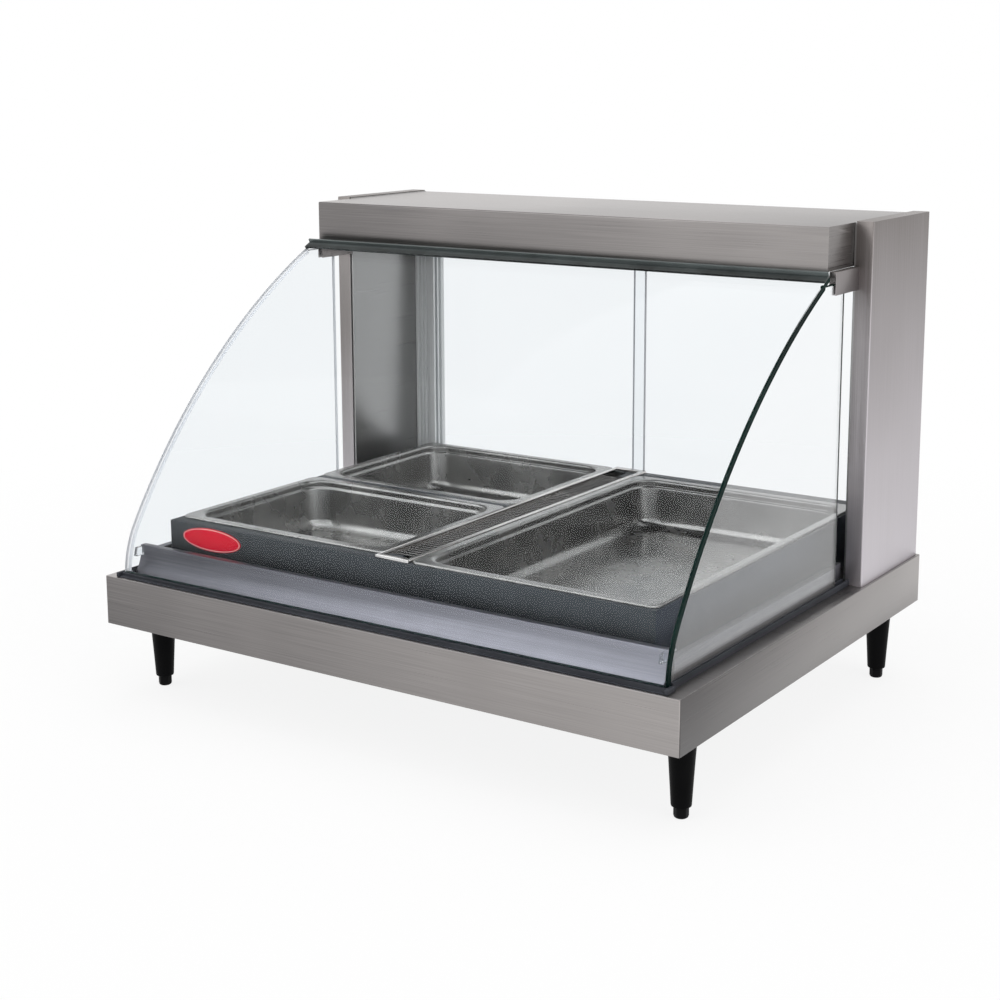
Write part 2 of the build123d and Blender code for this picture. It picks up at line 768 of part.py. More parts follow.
# Gaskets: a U-section under each side glass
gasket_front = channel_rear + gasket_set_back
with BuildPart() as side_glass_gaskets:
    for side in (-1, 1):
        groove = (side_glass_inner - seat_gap, glass_half_width + seat_gap)
        walls = (groove[0] - gasket_wall, groove[1] + gasket_wall)
        wall_x = sorted((side * walls[0], side * walls[1]))
        groove_x = sorted((side * groove[0], side * groove[1]))
        gasket_y = (gasket_front, post_front - seat_gap)
        block(wall_x, gasket_y, (base_top, base_top + gasket_height))
        groove_z = (gasket_low, base_top + gasket_height)
        block(groove_x, gasket_y, groove_z, Mode.SUBTRACT)
save(side_glass_gaskets.part, "side_glass_gaskets")

# Brackets that hold the upper rear corner of each side glass to its post
bracket_lap = 13.0
bracket_length = 29.0
bracket_wall = 1.2
bracket_low = side_glass_top - bracket_lap
bracket_high = canopy_bottom - seat_gap
bracket_front = side_glass_rear - bracket_length
with BuildPart() as side_glass_brackets:
    for side in (-1, 1):
        slot = (side_glass_inner - seat_gap, glass_half_width + seat_gap)
        cheeks = (slot[0] - bracket_wall, slot[1] + bracket_wall)
        cheek_x = sorted((side * cheeks[0], side * cheeks[1]))
        slot_x = sorted((side * slot[0], side * slot[1]))
        block(cheek_x, (bracket_front, post_front), (bracket_low, bracket_high))
        slot_y = (bracket_front, side_glass_rear + seat_gap)
        block(slot_x, slot_y, (bracket_low, side_glass_top + seat_gap), Mode.SUBTRACT)
save(side_glass_brackets.part, "side_glass_brackets")

# Posts: a folded channel outside and a flat cover inside, with the wiring between them
harness_high = canopy_bottom + canopy_height / 2
for side, label in ((-1, "post_left"), (1, "post_right")):
    with BuildPart() as post:
        shell_inner = post_inner + post_cover
        shell_x = sorted((side * shell_inner, side * post_outer))
        hollow_x = sorted((side * (shell_inner - sheet), side * (post_outer - sheet)))
        block(shell_x, (post_front, post_rear), (base_top, post_top))
        outer_edges = post.edges().filter_by(Axis.Z).group_by(Axis.X)[0 if side < 0 else -1]
        fillet(outer_edges, fold_radius)
        hollow_y = (post_front + sheet, post_rear - sheet)
        block(hollow_x, hollow_y, (base_top, post_top - sheet), Mode.SUBTRACT)
    save(post.part, label)

with BuildPart() as post_covers:
    for side in (-1, 1):
        cover_x = sorted((side * post_inner, side * (post_inner + post_cover)))
        cover_y = (post_front + post_cover_inset, post_rear - post_cover_inset)
        block(cover_x, cover_y, (base_top, post_top - sheet))
    hole_start = (canopy_half, harness_y, harness_high)
    rod(hole_start, (1, 0, 0), harness_hole, post_width, Mode.SUBTRACT)
save(post_covers.part, "post_covers")

# Canopy: a folded hood between the posts, with an inward flange along its lower edge
rear_screw_inset = 104.0
rear_screw_drop = 20.0
rear_screws_x = (rear_screw_inset - post_inner, 0.0, post_inner - rear_screw_inset)
rear_screw_z = canopy_top - rear_screw_drop
with BuildPart() as canopy_shell:
    block((-canopy_half, canopy_half), (canopy_front, post_rear), (canopy_bottom, canopy_top))
    fillet(canopy_shell.edges().filter_by(Axis.X).group_by(Axis.Z)[-1], fold_radius)
    hollow_half = canopy_half - sheet
    hollow_y = (canopy_front + sheet, post_rear - sheet)
    hollow_z = (canopy_bottom + sheet, canopy_top - sheet)
    block((-hollow_half, hollow_half), hollow_y, hollow_z, Mode.SUBTRACT)
    mouth_half = canopy_half - canopy_flange
    mouth_y = (canopy_front + canopy_flange, post_rear - canopy_flange)
    block((-mouth_half, mouth_half), mouth_y, (canopy_bottom, canopy_bottom + sheet), Mode.SUBTRACT)
    hole_start = (hollow_half - sheet, harness_y, harness_high)
    rod(hole_start, (1, 0, 0), harness_hole, 3 * sheet, Mode.SUBTRACT)
    for x in rear_screws_x:
        screw_start = (x, post_rear - 2 * sheet, rear_screw_z)
        rod(screw_start, (0, 1, 0), screw_radius + running_gap, 3 * sheet, Mode.SUBTRACT)
save(canopy_shell.part, "canopy_shell")

# Underside panel, resting on the canopy's flange, open under the elements and the lamps
panel_low = canopy_bottom + sheet
panel_high = panel_low + sheet
canopy_mid_y = (canopy_front + post_rear) / 2
radiant_rows = (canopy_mid_y - radiant_offset, canopy_mid_y + radiant_offset)
with BuildPart() as canopy_underside:
    panel_half = hollow_half - seat_gap
    panel_y = (hollow_y[0] + seat_gap, hollow_y[1] - seat_gap)
    block((-panel_half, panel_half), panel_y, (panel_low, panel_high))
    with BuildSketch(Plane.XY.offset(panel_low)):
        for row in radiant_rows:
            with Locations((0, row)):
                window_x, window_y = reflector_window
                Rectangle(2 * reflector_half - window_x, 2 * reflector_mouth - window_y)
        lamp_window = 2 * (lamp_inner + lamp_length)
        with Locations((0, canopy_mid_y)):
            Rectangle(lamp_window, 2 * (lamp_radius + lamp_window_margin))
    extrude(amount=sheet, mode=Mode.SUBTRACT)
save(canopy_underside.part, "canopy_underside")

# Reflector troughs, radiant rods and the ceramic blocks at their ends
reflector_top = panel_high + reflector_height
inner_mouth = reflector_mouth - reflector_sheet
inner_crown = reflector_crown - reflector_sheet
with BuildPart() as element_reflectors:
    for row in radiant_rows:
        with BuildSketch(Plane.YZ):
            with BuildLine():
                Polyline(
                    (row - reflector_mouth, panel_high),
                    (row - reflector_crown, reflector_top),
                    (row + reflector_crown, reflector_top),
                    (row + reflector_mouth, panel_high),
                    (row + inner_mouth, panel_high),
                    (row + inner_crown, reflector_top - reflector_sheet),
                    (row - inner_crown, reflector_top - reflector_sheet),
                    (row - inner_mouth, panel_high),
                    close=True,
                )
            make_face()
        extrude(amount=reflector_half, both=True)
save(element_reflectors.part, "element_reflectors")

radiant_z = panel_high + radiant_rise
with BuildPart() as heating_elements:
    for row in radiant_rows:
        rod((-radiant_half, row, radiant_z), (1, 0, 0), radiant_radius, 2 * radiant_half)
save(heating_elements.part, "heating_elements")

with BuildPart() as element_insulators:
    for row in radiant_rows:
        for side in (-1, 1):
            near = reflector_half + seat_gap
            insulator_x = sorted((side * near, side * (near + insulator_length)))
            insulator_y = (row - insulator_width / 2, row + insulator_width / 2)
            block(insulator_x, insulator_y, (panel_high, panel_high + insulator_width))
        bore_start = (-canopy_half, row, radiant_z)
        rod(bore_start, (1, 0, 0), radiant_radius + running_gap, 2 * canopy_half, Mode.SUBTRACT)
save(element_insulators.part, "element_insulators")

# Display lamps and their sockets
lamp_z = panel_high + lamp_rise
lamp_far = lamp_inner + lamp_length
with BuildPart() as display_lamps:
    for side in (-1, 1):
        direction = (side, 0, 0)
        body_start = (side * (lamp_inner + lamp_radius), canopy_mid_y, lamp_z)
        rod(body_start, direction, lamp_radius, lamp_length - lamp_radius - lamp_cap_length + 2 * sheet)
        with Locations(body_start):
            Sphere(lamp_radius)
        cap_start = (side * (lamp_far - lamp_cap_length), canopy_mid_y, lamp_z)
        rod(cap_start, direction, lamp_radius - lamp_cap_step, lamp_cap_length)
save(display_lamps.part, "display_lamps")

with BuildPart() as lamp_sockets:
    for side in (-1, 1):
        socket_start = (side * (lamp_far + seat_gap), canopy_mid_y, lamp_z)
        rod(socket_start, (side, 0, 0), socket_radius, socket_length)
        foot_near, foot_far = lamp_far + socket_foot[0], lamp_far + socket_length - socket_foot[1]
        foot_x = sorted((side * foot_near, side * foot_far))
        foot_depth = (canopy_mid_y - socket_foot_half, canopy_mid_y + socket_foot_half)
        block(foot_x, foot_depth, (panel_high, lamp_z))
save(lamp_sockets.part, "lamp_sockets")

# Rear door frame: jambs against the posts, a track on the base and one under the canopy
jamb_rear = jamb_front + jamb_depth
door_faces = (door_inner_face, door_inner_face + door_plane_step)
groove_spans = [(face - groove_slack, face + door_thickness + groove_slack) for face in door_faces]
with BuildPart() as door_jambs:
    for side in (-1, 1):
        jamb_x = sorted((side * jamb_inner, side * canopy_half))
        block(jamb_x, (jamb_front, jamb_rear), (base_top, canopy_bottom))
        groove_x = sorted((side * jamb_inner, side * (jamb_inner + groove_depth)))
        for span in groove_spans:
            block(groove_x, span, (base_top + track_floor, canopy_bottom), Mode.SUBTRACT)
        for share in flute_shares:
            flute_x = side * (jamb_inner + share * (canopy_half - jamb_inner))
            flute_span = (flute_x - flute_width / 2, flute_x + flute_width / 2)
            flute_y = (jamb_front, jamb_front + flute_depth)
            block(flute_span, flute_y, (base_top, canopy_bottom), Mode.SUBTRACT)
save(door_jambs.part, "door_jambs")

track_half = jamb_inner - running_gap
with BuildPart() as door_track_bottom:
    block((-track_half, track_half), (jamb_front, jamb_rear), (base_top, base_top + track_height))
    for span in groove_spans:
        groove_z = (base_top + track_floor, base_top + track_height)
        block((-track_half, track_half), span, groove_z, Mode.SUBTRACT)
save(door_track_bottom.part, "door_track_bottom")

with BuildPart() as door_track_top:
    top_track_z = (canopy_bottom - top_track_height, canopy_bottom)
    block((-track_half, track_half), (jamb_front, jamb_rear), top_track_z)
    for span in groove_spans:
        groove_z = (canopy_bottom - top_track_height, canopy_bottom - top_track_web)
        block((-track_half, track_half), span, groove_z, Mode.SUBTRACT)
save(door_track_top.part, "door_track_top")

door_bottom = base_top + track_floor + seat_gap
door_top = canopy_bottom - top_track_web - door_top_play
pull_bottom = base_top + track_height + pull_above_track
door_outer_edge = jamb_inner + door_in_groove
for side, face, name in ((-1, door_faces[0], "left"), (1, door_faces[1], "right")):
    with BuildPart() as rear_door:
        door_x = sorted((side * door_outer_edge, -side * door_overlap / 2))
        block(door_x, (face, face + door_thickness), (door_bottom, door_top))
    save(rear_door.part, f"rear_door_{name}")
    with BuildPart() as door_pull:
        pull_far = jamb_inner - pull_edge
        pull_x = sorted((side * (pull_far - pull_width), side * pull_far))
        pull_z = (pull_bottom, pull_bottom + pull_height)
        block(pull_x, (face + door_thickness, face + door_thickness + pull_depth), pull_z)
        fillet(door_pull.edges().filter_by(Axis.Y), pull_corner)
    save(door_pull.part, f"door_pull_{name}")

# Control panel: a box sunk into the rear of the base
panel_face = rear_y - recess_depth
switch_half_x = rocker_width / 2 + rocker_gap + switch_wall
switch_half_z = rocker_height / 2 + rocker_gap + switch_wall
with BuildPart() as control_panel:
    wall_x = (recess_left - sheet, recess_right + sheet)
    wall_z = (recess_low - sheet, recess_high + sheet)
    block(wall_x, (panel_face - sheet, rear_y - sheet), wall_z)
    recess_y = (panel_face, rear_y)
    block((recess_left, recess_right), recess_y, (recess_low, recess_high), Mode.SUBTRACT)
    for x in knob_positions:
        knob_hole = (x, panel_face - sheet, control_level)
        rod(knob_hole, (0, 1, 0), shaft_radius + running_gap, sheet, Mode.SUBTRACT)
    for x in rocker_positions:
        window_x = (x - switch_half_x - seat_gap, x + switch_half_x + seat_gap)
        window_z = (control_level - switch_half_z - seat_gap, control_level + switch_half_z + seat_gap)
        block(window_x, (panel_face - sheet, panel_face), window_z, Mode.SUBTRACT)
    indicator_hole = (indicator_position, panel_face - sheet, control_level)
    rod(indicator_hole, (0, 1, 0), indicator_radius - indicator_step + seat_gap, sheet, Mode.SUBTRACT)
    gland_hole = (gland_position, panel_face - sheet, control_level)
    rod(gland_hole, (0, 1, 0), gland_radius + seat_gap, sheet, Mode.SUBTRACT)
save(control_panel.part, "control_panel")

# Thermostat and top-heat control behind the panel, and the knob on each shaft
control_front = panel_face - sheet - thermostat_depth
with BuildPart() as thermostat_bodies:
    for x in knob_positions:
        body_x = (x - thermostat_width / 2, x + thermostat_width / 2)
        body_z = (control_level - thermostat_width / 2, control_level + thermostat_width / 2)
        block(body_x, (control_front, panel_face - sheet), body_z)
        bore_start = (x, panel_face - sheet - shaft_bury, control_level)
        rod(bore_start, (0, 1, 0), shaft_radius + running_gap, shaft_bury, Mode.SUBTRACT)
save(thermostat_bodies.part, "thermostat_bodies")

for x, label in zip(knob_positions, ("base_heat_knob", "top_heat_knob")):
    with BuildPart() as knob:
        stem_start = (x, panel_face - sheet - shaft_bury + seat_gap, control_level)
        knob_back = panel_face + seat_gap
        rod(stem_start, (0, 1, 0), shaft_radius, shaft_bury + sheet + shaft_beyond)
        rod((x, knob_back, control_level), (0, 1, 0), knob_skirt_radius, knob_skirt_height)
        rod((x, knob_back, control_level), (0, 1, 0), knob_radius - knob_cap_step, knob_height)
        grip_x = (x - knob_grip_width / 2, x + knob_grip_width / 2)
        grip_half = knob_radius - knob_grip_inset
        grip_z = (control_level - grip_half, control_level + grip_half)
        block(grip_x, (knob_back, knob_back + knob_height + knob_grip_proud), grip_z)
    save(knob.part, label)

# Rocker switches: a body through the panel with a bezel, and a rocker that tips in it
rocker_pivot_y = panel_face - rocker_sink
cavity_depth = rocker_depth + cavity_spare
with BuildPart() as rocker_frames:
    for x in rocker_positions:
        bezel_x = (x - switch_half_x - bezel_border, x + switch_half_x + bezel_border)
        bezel_z = (
            control_level - switch_half_z - bezel_border,
            control_level + switch_half_z + bezel_border,
        )
        block(bezel_x, (panel_face, panel_face + bezel_thickness), bezel_z)
        body_x = (x - switch_half_x, x + switch_half_x)
        body_z = (control_level - switch_half_z, control_level + switch_half_z)
        block(body_x, (panel_face - switch_depth, panel_face), body_z)
        cavity_x = (x - rocker_width / 2 - rocker_gap, x + rocker_width / 2 + rocker_gap)
        cavity_z = (
            control_level - rocker_height / 2 - rocker_gap,
            control_level + rocker_height / 2 + rocker_gap,
        )
        cavity_y = (panel_face - cavity_depth, panel_face + bezel_thickness)
        block(cavity_x, cavity_y, cavity_z, Mode.SUBTRACT)
        rod((body_x[0], rocker_pivot_y, control_level), (1, 0, 0), rocker_pin_radius, 2 * switch_half_x)
save(rocker_frames.part, "rocker_frames")

tilt = radians(rocker_rest_tilt)
for x, label in zip(rocker_positions, ("power_rocker", "lamp_rocker")):
    rocker_plane = Plane(
        origin=(x, rocker_pivot_y, control_level),
        x_dir=(0, cos(tilt), sin(tilt)),
        z_dir=(1, 0, 0),
    )
    with BuildPart() as rocker:
        with BuildSketch(rocker_plane):
            with BuildLine():
                Polyline(
                    (-rocker_depth / 2, rocker_draft - rocker_height / 2),
                    (rocker_proud, -rocker_height / 2),
                    (rocker_proud - rocker_dip, 0),
                    (rocker_proud, rocker_height / 2),
                    (-rocker_depth / 2, rocker_height / 2 - rocker_draft),
                    close=True,
                )
            make_face()
            Circle(rocker_pin_radius + running_gap, mode=Mode.SUBTRACT)
        extrude(amount=rocker_width / 2, both=True)
    save(rocker.part, label)

with BuildPart() as indicator_lens:
    indicator_start = (indicator_position, panel_face - indicator_buried, control_level)
    rod(indicator_start, (0, 1, 0), indicator_radius - indicator_step, indicator_buried)
    rod((indicator_position, panel_face, control_level), (0, 1, 0), indicator_radius, indicator_proud)
    fillet(indicator_lens.edges().filter_by(GeomType.CIRCLE).sort_by(Axis.Y)[-1], indicator_round)
save(indicator_lens.part, "indicator_lens")

with BuildPart() as cord_gland:
    gland_start = (gland_position, panel_face - gland_buried, control_level)
    rod(gland_start, (0, 1, 0), gland_radius, gland_length)
    rod((gland_position, panel_face, control_level), (0, 1, 0), gland_flange, gland_front_flange)
    nut_start = (gland_position, panel_face - sheet - gland_nut, control_level)
    rod(nut_start, (0, 1, 0), gland_flange, gland_nut)
    rod(gland_start, (0, 1, 0), gland_bore, gland_length, Mode.SUBTRACT)
save(cord_gland.part, "cord_gland")

# Terminal blocks in the base and in the canopy, and the harness that joins them through the post
block_x = case_width / 2 - block_margin
base_block_y = (harness_y - base_block_ahead, harness_y - base_block_ahead + block_length)
base_block_z = (base_bottom + sheet, base_bottom + sheet + block_height)
canopy_block_near = radiant_half + canopy_block_gap
canopy_block_x = (canopy_block_near, canopy_block_near + block_length)
with BuildPart() as terminal_blocks:
    block((block_x - block_width / 2, block_x + block_width / 2), base_block_y, base_block_z)
    canopy_block_y = (harness_y - block_width / 2, harness_y + block_width / 2)
    block(canopy_block_x, canopy_block_y, (panel_high, harness_high + canopy_block_above))
save(terminal_blocks.part, "terminal_blocks")

harness_low = base_block_z[1] - harness_under_block_top
with BuildPart() as wire_harness:
    with BuildLine():
        harness_path = FilletPolyline(
            (block_x, base_block_y[1], harness_low),
            (block_x, harness_y, harness_low),
            (harness_x, harness_y, harness_low),
            (harness_x, harness_y, harness_high),
            (canopy_block_x[1], harness_y, harness_high),
            radius=harness_bend,
        )
    with BuildSketch(Plane(origin=harness_path @ 0, z_dir=harness_path % 0)):
        Circle(harness_radius)
    sweep()
save(wire_harness.part, "wire_harness")

# Legs: tapered, with a collar at the top, a stud into the base and a bore for the foot's stem
leg_bottom = foot_height + seat_gap
with BuildPart() as legs:
    for x, y in leg_points:
        with Locations((x, y, leg_bottom)):
            Cone(
                leg_foot_radius,
                leg_top_radius,
                leg_height - leg_bottom,
                align=(Align.CENTER, Align.CENTER, Align.MIN),
            )
        rod((x, y, leg_height - leg_collar), (0, 0, 1), leg_top_radius + leg_collar_proud, leg_collar)
        rod((x, y, leg_height), (0, 0, 1), stud_radius, stud_length)
        bore_length = stem_length + seat_gap
        rod((x, y, leg_bottom), (0, 0, 1), stem_radius + running_gap, bore_length, Mode.SUBTRACT)
save(legs.part, "legs")

foot_names = ("foot_front_left", "foot_rear_left", "foot_front_right", "foot_rear_right")
for (x, y), label in zip(leg_points, foot_names):
    with BuildPart() as foot:
        rod((x, y, 0), (0, 0, 1), foot_radius, foot_height)
        chamfer(foot.edges().filter_by(GeomType.CIRCLE).sort_by(Axis.Z)[0], foot_chamfer)
        rod((x, y, foot_height), (0, 0, 1), stem_radius, stem_length)
    save(foot.part, label)

# Pan-head screws in the bottom cover and along the rear of the canopy
with BuildPart() as screws:
    for x in cover_screw_columns:
        for y in cover_screw_rows:
            rod((x, y, base_bottom), (0, 0, -1), screw_head_radius, screw_head_height)
            rod((x, y, base_bottom), (0, 0, 1), screw_radius, screw_length)
    for x in rear_screws_x:
        rod((x, post_rear, rear_screw_z), (0, 1, 0), screw_head_radius, screw_head_height)
        rod((x, post_rear, rear_screw_z), (0, -1, 0), screw_radius, screw_length)
save(screws.part, "screws")
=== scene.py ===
# %% [markdown]
# A heated display case for a shop counter, dressed around its CAD frame.
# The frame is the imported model: every rigid piece is already there, in metres, and rides on a body
# that a joint may move. This lesson leaves the frame as it is, gives each piece its finish, and puts
# finer pieces over the plain ones where the eye needs more than flat faces: glass, pans, wires, knobs.

import json
import math

import bmesh
import bpy
import numpy as np
from mathutils import Matrix, Vector

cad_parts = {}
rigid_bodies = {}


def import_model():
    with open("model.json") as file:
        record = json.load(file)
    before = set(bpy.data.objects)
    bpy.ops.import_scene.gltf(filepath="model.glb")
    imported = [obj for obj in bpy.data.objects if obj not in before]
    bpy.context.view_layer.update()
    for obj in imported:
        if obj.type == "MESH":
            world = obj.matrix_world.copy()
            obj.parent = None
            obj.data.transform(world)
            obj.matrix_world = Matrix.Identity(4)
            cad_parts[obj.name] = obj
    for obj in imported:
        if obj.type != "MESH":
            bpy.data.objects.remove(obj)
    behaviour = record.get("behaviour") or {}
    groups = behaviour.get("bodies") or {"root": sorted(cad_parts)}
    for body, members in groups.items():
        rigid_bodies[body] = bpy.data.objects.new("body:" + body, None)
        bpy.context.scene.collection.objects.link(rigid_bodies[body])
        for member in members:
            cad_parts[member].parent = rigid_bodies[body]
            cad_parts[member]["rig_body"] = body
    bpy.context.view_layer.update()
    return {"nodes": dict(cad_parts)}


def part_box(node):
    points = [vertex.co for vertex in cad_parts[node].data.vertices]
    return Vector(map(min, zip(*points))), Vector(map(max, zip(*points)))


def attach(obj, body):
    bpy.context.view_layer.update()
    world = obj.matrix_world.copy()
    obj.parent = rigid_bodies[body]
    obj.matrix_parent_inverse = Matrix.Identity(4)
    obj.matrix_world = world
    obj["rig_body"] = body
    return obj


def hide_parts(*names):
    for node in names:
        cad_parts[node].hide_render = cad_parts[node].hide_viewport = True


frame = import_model()
nodes = frame["nodes"]

# %% [markdown]
# Real cases are drawn in millimetres, and Blender works in metres, so one factor turns the first
# into the second. Colours are written as the eye sees them on a screen, 0 to 255, and made linear
# for the shader, because light adds up in linear numbers.

# %% Units and colours
mm = 0.001


def seen(red, green, blue):
    """A screen colour made linear: each share to the power 2.4, with the short straight toe near black."""
    share = np.array([red, green, blue]) / 255
    linear = np.where(share > 0.04045, ((share + 0.055) / 1.055) ** 2.4, share / 12.92)
    return (*linear.tolist(), 1.0)


print("mid grey becomes", round(seen(128, 128, 128)[0], 3))

# %% [markdown]
# The camera comes first, since everything is judged through it. Its place was worked out from the
# corners of the case: it stands to the right of the front, a little above the canopy, and looks
# 34 degrees to the left and 10.5 degrees down. A small vertical shift lifts the case in the picture,
# as a view camera does, so that the upright edges stay nearly upright.

# %% Camera
def turn(degrees, axis):
    """A 4x4 turn about one axis."""
    return Matrix.Rotation(math.radians(degrees), 4, axis)


camera = bpy.data.objects.new("camera", bpy.data.cameras.new("camera"))
camera.data.sensor_width = 36.0
camera.data.lens = 64.08
camera.data.shift_y = -0.10
camera_place = (1.2248, -1.8571, 0.7884)
leftward, downward, roll = 34.06, 10.55, -0.21
camera.matrix_world = (
    Matrix.Translation(camera_place) @ turn(leftward, "Z") @ turn(90 - downward, "X") @ turn(roll, "Z")
)
bpy.context.scene.collection.objects.link(camera)
bpy.context.scene.camera = camera
bpy.context.scene.view_settings.view_transform = "Standard"
print("camera at", [round(v, 3) for v in camera.matrix_world.translation])

# %% [markdown]
# A material here is a small graph of nodes. Small helpers keep the graphs short: one makes a material
# and sets the sockets that are the same all over, one adds a node and wires it, and the others name
# the steps that every finish uses, such as noise, a change of range and a mix of two colours.

# %% Node helpers
def material(name, plain):
    """A material with one Principled shader, and its node tree. plain holds the even sockets."""
    made = bpy.data.materials.new(name)
    made.use_nodes = True
    shader = made.node_tree.nodes["Principled BSDF"]
    for socket, value in plain.items():
        shader.inputs[socket].default_value = value
    return made, made.node_tree, shader


def add(tree, kind, values=None, **settings):
    """One new node. A value that is a socket is wired in, any other is set."""
    made = tree.nodes.new(kind)
    for key, value in settings.items():
        setattr(made, key, value)
    for key, value in (values or {}).items():
        if isinstance(value, bpy.types.NodeSocket):
            tree.links.new(value, made.inputs[key])
        else:
            made.inputs[key].default_value = value
    return made


def object_point(tree):
    """The point's own place on the object, which stays with the piece when it moves."""
    return add(tree, "ShaderNodeTexCoord").outputs["Object"]


def object_normal(tree):
    """The way the face looks, in the object's own axes."""
    return add(tree, "ShaderNodeTexCoord").outputs["Normal"]


def split(tree, vector):
    """A vector's X, Y and Z as three values."""
    return add(tree, "ShaderNodeSeparateXYZ", {0: vector}).outputs


def stretched(tree, vector, scale):
    """The same point with each axis scaled by its own number."""
    return add(tree, "ShaderNodeVectorMath", {0: vector, 1: scale}, operation="MULTIPLY").outputs[0]


def noise(tree, vector, scale=1.0, detail=3.0, roughness=0.5):
    """Soft noise from 0 to 1 at a point."""
    values = {"Vector": vector, "Scale": scale, "Detail": detail, "Roughness": roughness}
    return add(tree, "ShaderNodeTexNoise", values).outputs["Fac"]


def spread(tree, value, low, high, to_low=0.0, to_high=1.0):
    """A value between low and high carried to another range, and held at its ends."""
    values = {"Value": value, "From Min": low, "From Max": high, "To Min": to_low, "To Max": to_high}
    return add(tree, "ShaderNodeMapRange", values).outputs["Result"]


def sums(tree, operation, first, second=0.0):
    """One step of arithmetic on two values."""
    return add(tree, "ShaderNodeMath", {0: first, 1: second}, operation=operation).outputs[0]


def mixed(tree, factor, first, second):
    """The first colour at factor 0, the second at factor 1."""
    values = {"Factor": factor, "A": first, "B": second}
    made = tree.nodes.new("ShaderNodeMix")
    made.data_type = "RGBA"
    for socket in made.inputs:
        if socket.name in values and socket.enabled:
            value = values[socket.name]
            if isinstance(value, bpy.types.NodeSocket):
                tree.links.new(value, socket)
            else:
                socket.default_value = value
    return next(socket for socket in made.outputs if socket.enabled)


def bumped(tree, shader, height, distance, strength=1.0):
    """Wires a height into the shader as small relief, distance in metres."""
    values = {"Height": height, "Distance": distance, "Strength": strength}
    relief = add(tree, "ShaderNodeBump", values)
    tree.links.new(relief.outputs["Normal"], shader.inputs["Normal"])


print("node helpers ready")

# %% [markdown]
# Folded stainless sheet is brushed along its length, so its gloss is drawn out into fine lines.
# One noise, squeezed hard across the brushing and pulled long along it, gives the lines; the same
# noise drives roughness and a relief of about a hundredth of a millimetre. The direction follows the
# face: lines run along X on fronts and tops, along Y on the ends, and upright on the posts. A broad,
# faint noise keeps large faces alive. Slow slopes along X, Y and Z make one end of a sheet lighter than
# the other, and shifts make top, front and end faces lighter or darker: both are painted light and
# shade. A fold is where the normal lies between two axes: upright folds get a painted highlight, and
# level ones a painted dark line of shade.

# %% Brushed sheet
# The stretch that a painted light slope runs over, in metres, and the least part of a normal that lies
# along an axis for the face to count as square to it.
slope_half_width, slope_half_depth, slope_low, slope_high = 0.42, 0.33, 0.15, 0.61
square_to_axis = 0.7


def brushed(name, dull, bright, rough=(0.26, 0.42), grain=900.0, draw=6.0, upright=False,
            painted_slope_x=0.0, painted_slope_z=0.0, ends=(0.0, 0.0), top=0.0, front=0.0):
    """Brushed sheet: the share between dull and bright is 0.48, plus the lines, a broad noise, the
    painted light slopes and the painted fold highlight and shade. On a top face the slope along X turns
    about and is weaker. ends is the shift of painted light on the two end faces, at the front and at the
    rear, painted shade where it is negative; top and front are the same painted shifts on a top face and
    on a front or rear one."""
    made, tree, shader = material(name, {"Metallic": 1.0})
    point = object_point(tree)
    unsigned = add(tree, "ShaderNodeVectorMath", {0: object_normal(tree)}, operation="ABSOLUTE")
    facing = split(tree, unsigned.outputs[0])
    on_end = sums(tree, "GREATER_THAN", facing["X"], square_to_axis)
    on_top = sums(tree, "GREATER_THAN", facing["Z"], square_to_axis)
    on_front = sums(tree, "GREATER_THAN", facing["Y"], square_to_axis)
    widest = sums(tree, "MAXIMUM", sums(tree, "MAXIMUM", facing["X"], facing["Y"]), facing["Z"])
    # Painted fold light: a painted highlight on upright folds and a painted dark line of shade on level
    # ones.
    painted_fold_light = spread(tree, widest, 0.75, 0.98, 0.5, 0.0)
    lines_front = stretched(tree, point, (grain, grain, draw) if upright else (draw, grain, grain))
    lines_end = stretched(tree, point, (grain, grain, draw) if upright else (grain, draw, grain))
    choice = add(tree, "ShaderNodeMix", data_type="VECTOR")
    tree.links.new(on_end, choice.inputs[0])
    tree.links.new(lines_front, choice.inputs[4])
    tree.links.new(lines_end, choice.inputs[5])
    lines = noise(tree, choice.outputs[1], 1.0, 2.0, 0.6)
    broad = noise(tree, point, 3.5, 2.0, 0.5)
    place = split(tree, point)
    # A painted light slope along X, which turns about on top faces.
    along_x = spread(tree, place["X"], -slope_half_width, slope_half_width, -painted_slope_x, painted_slope_x)
    parts = [
        spread(tree, lines, 0.3, 0.7, 0.40, 0.56),
        spread(tree, broad, 0.3, 0.7, -0.08, 0.08),
        # The parts from here on are painted light and shade: the slopes, the face shifts and the fold light.
        sums(tree, "MULTIPLY", along_x, spread(tree, on_top, 0.0, 1.0, 1.0, -0.6)),
        spread(tree, place["Z"], slope_low, slope_high, -painted_slope_z, painted_slope_z),
        sums(tree, "MULTIPLY", on_end, spread(tree, place["Y"], -slope_half_depth, slope_half_depth, *ends)),
        sums(tree, "MULTIPLY", on_top, top),
        sums(tree, "MULTIPLY", on_front, front),
        sums(tree, "MULTIPLY", painted_fold_light, spread(tree, facing["Z"], 0.05, 0.3, 1.0, -0.8)),
    ]
    mix = parts[0]
    for part in parts[1:]:
        mix = sums(tree, "ADD", mix, part)
    tree.links.new(mixed(tree, spread(tree, mix, 0.0, 1.0), dull, bright), shader.inputs["Base Color"])
    tree.links.new(spread(tree, lines, 0.25, 0.75, *rough), shader.inputs["Roughness"])
    bumped(tree, shader, lines, 0.00002, 0.5)
    return made
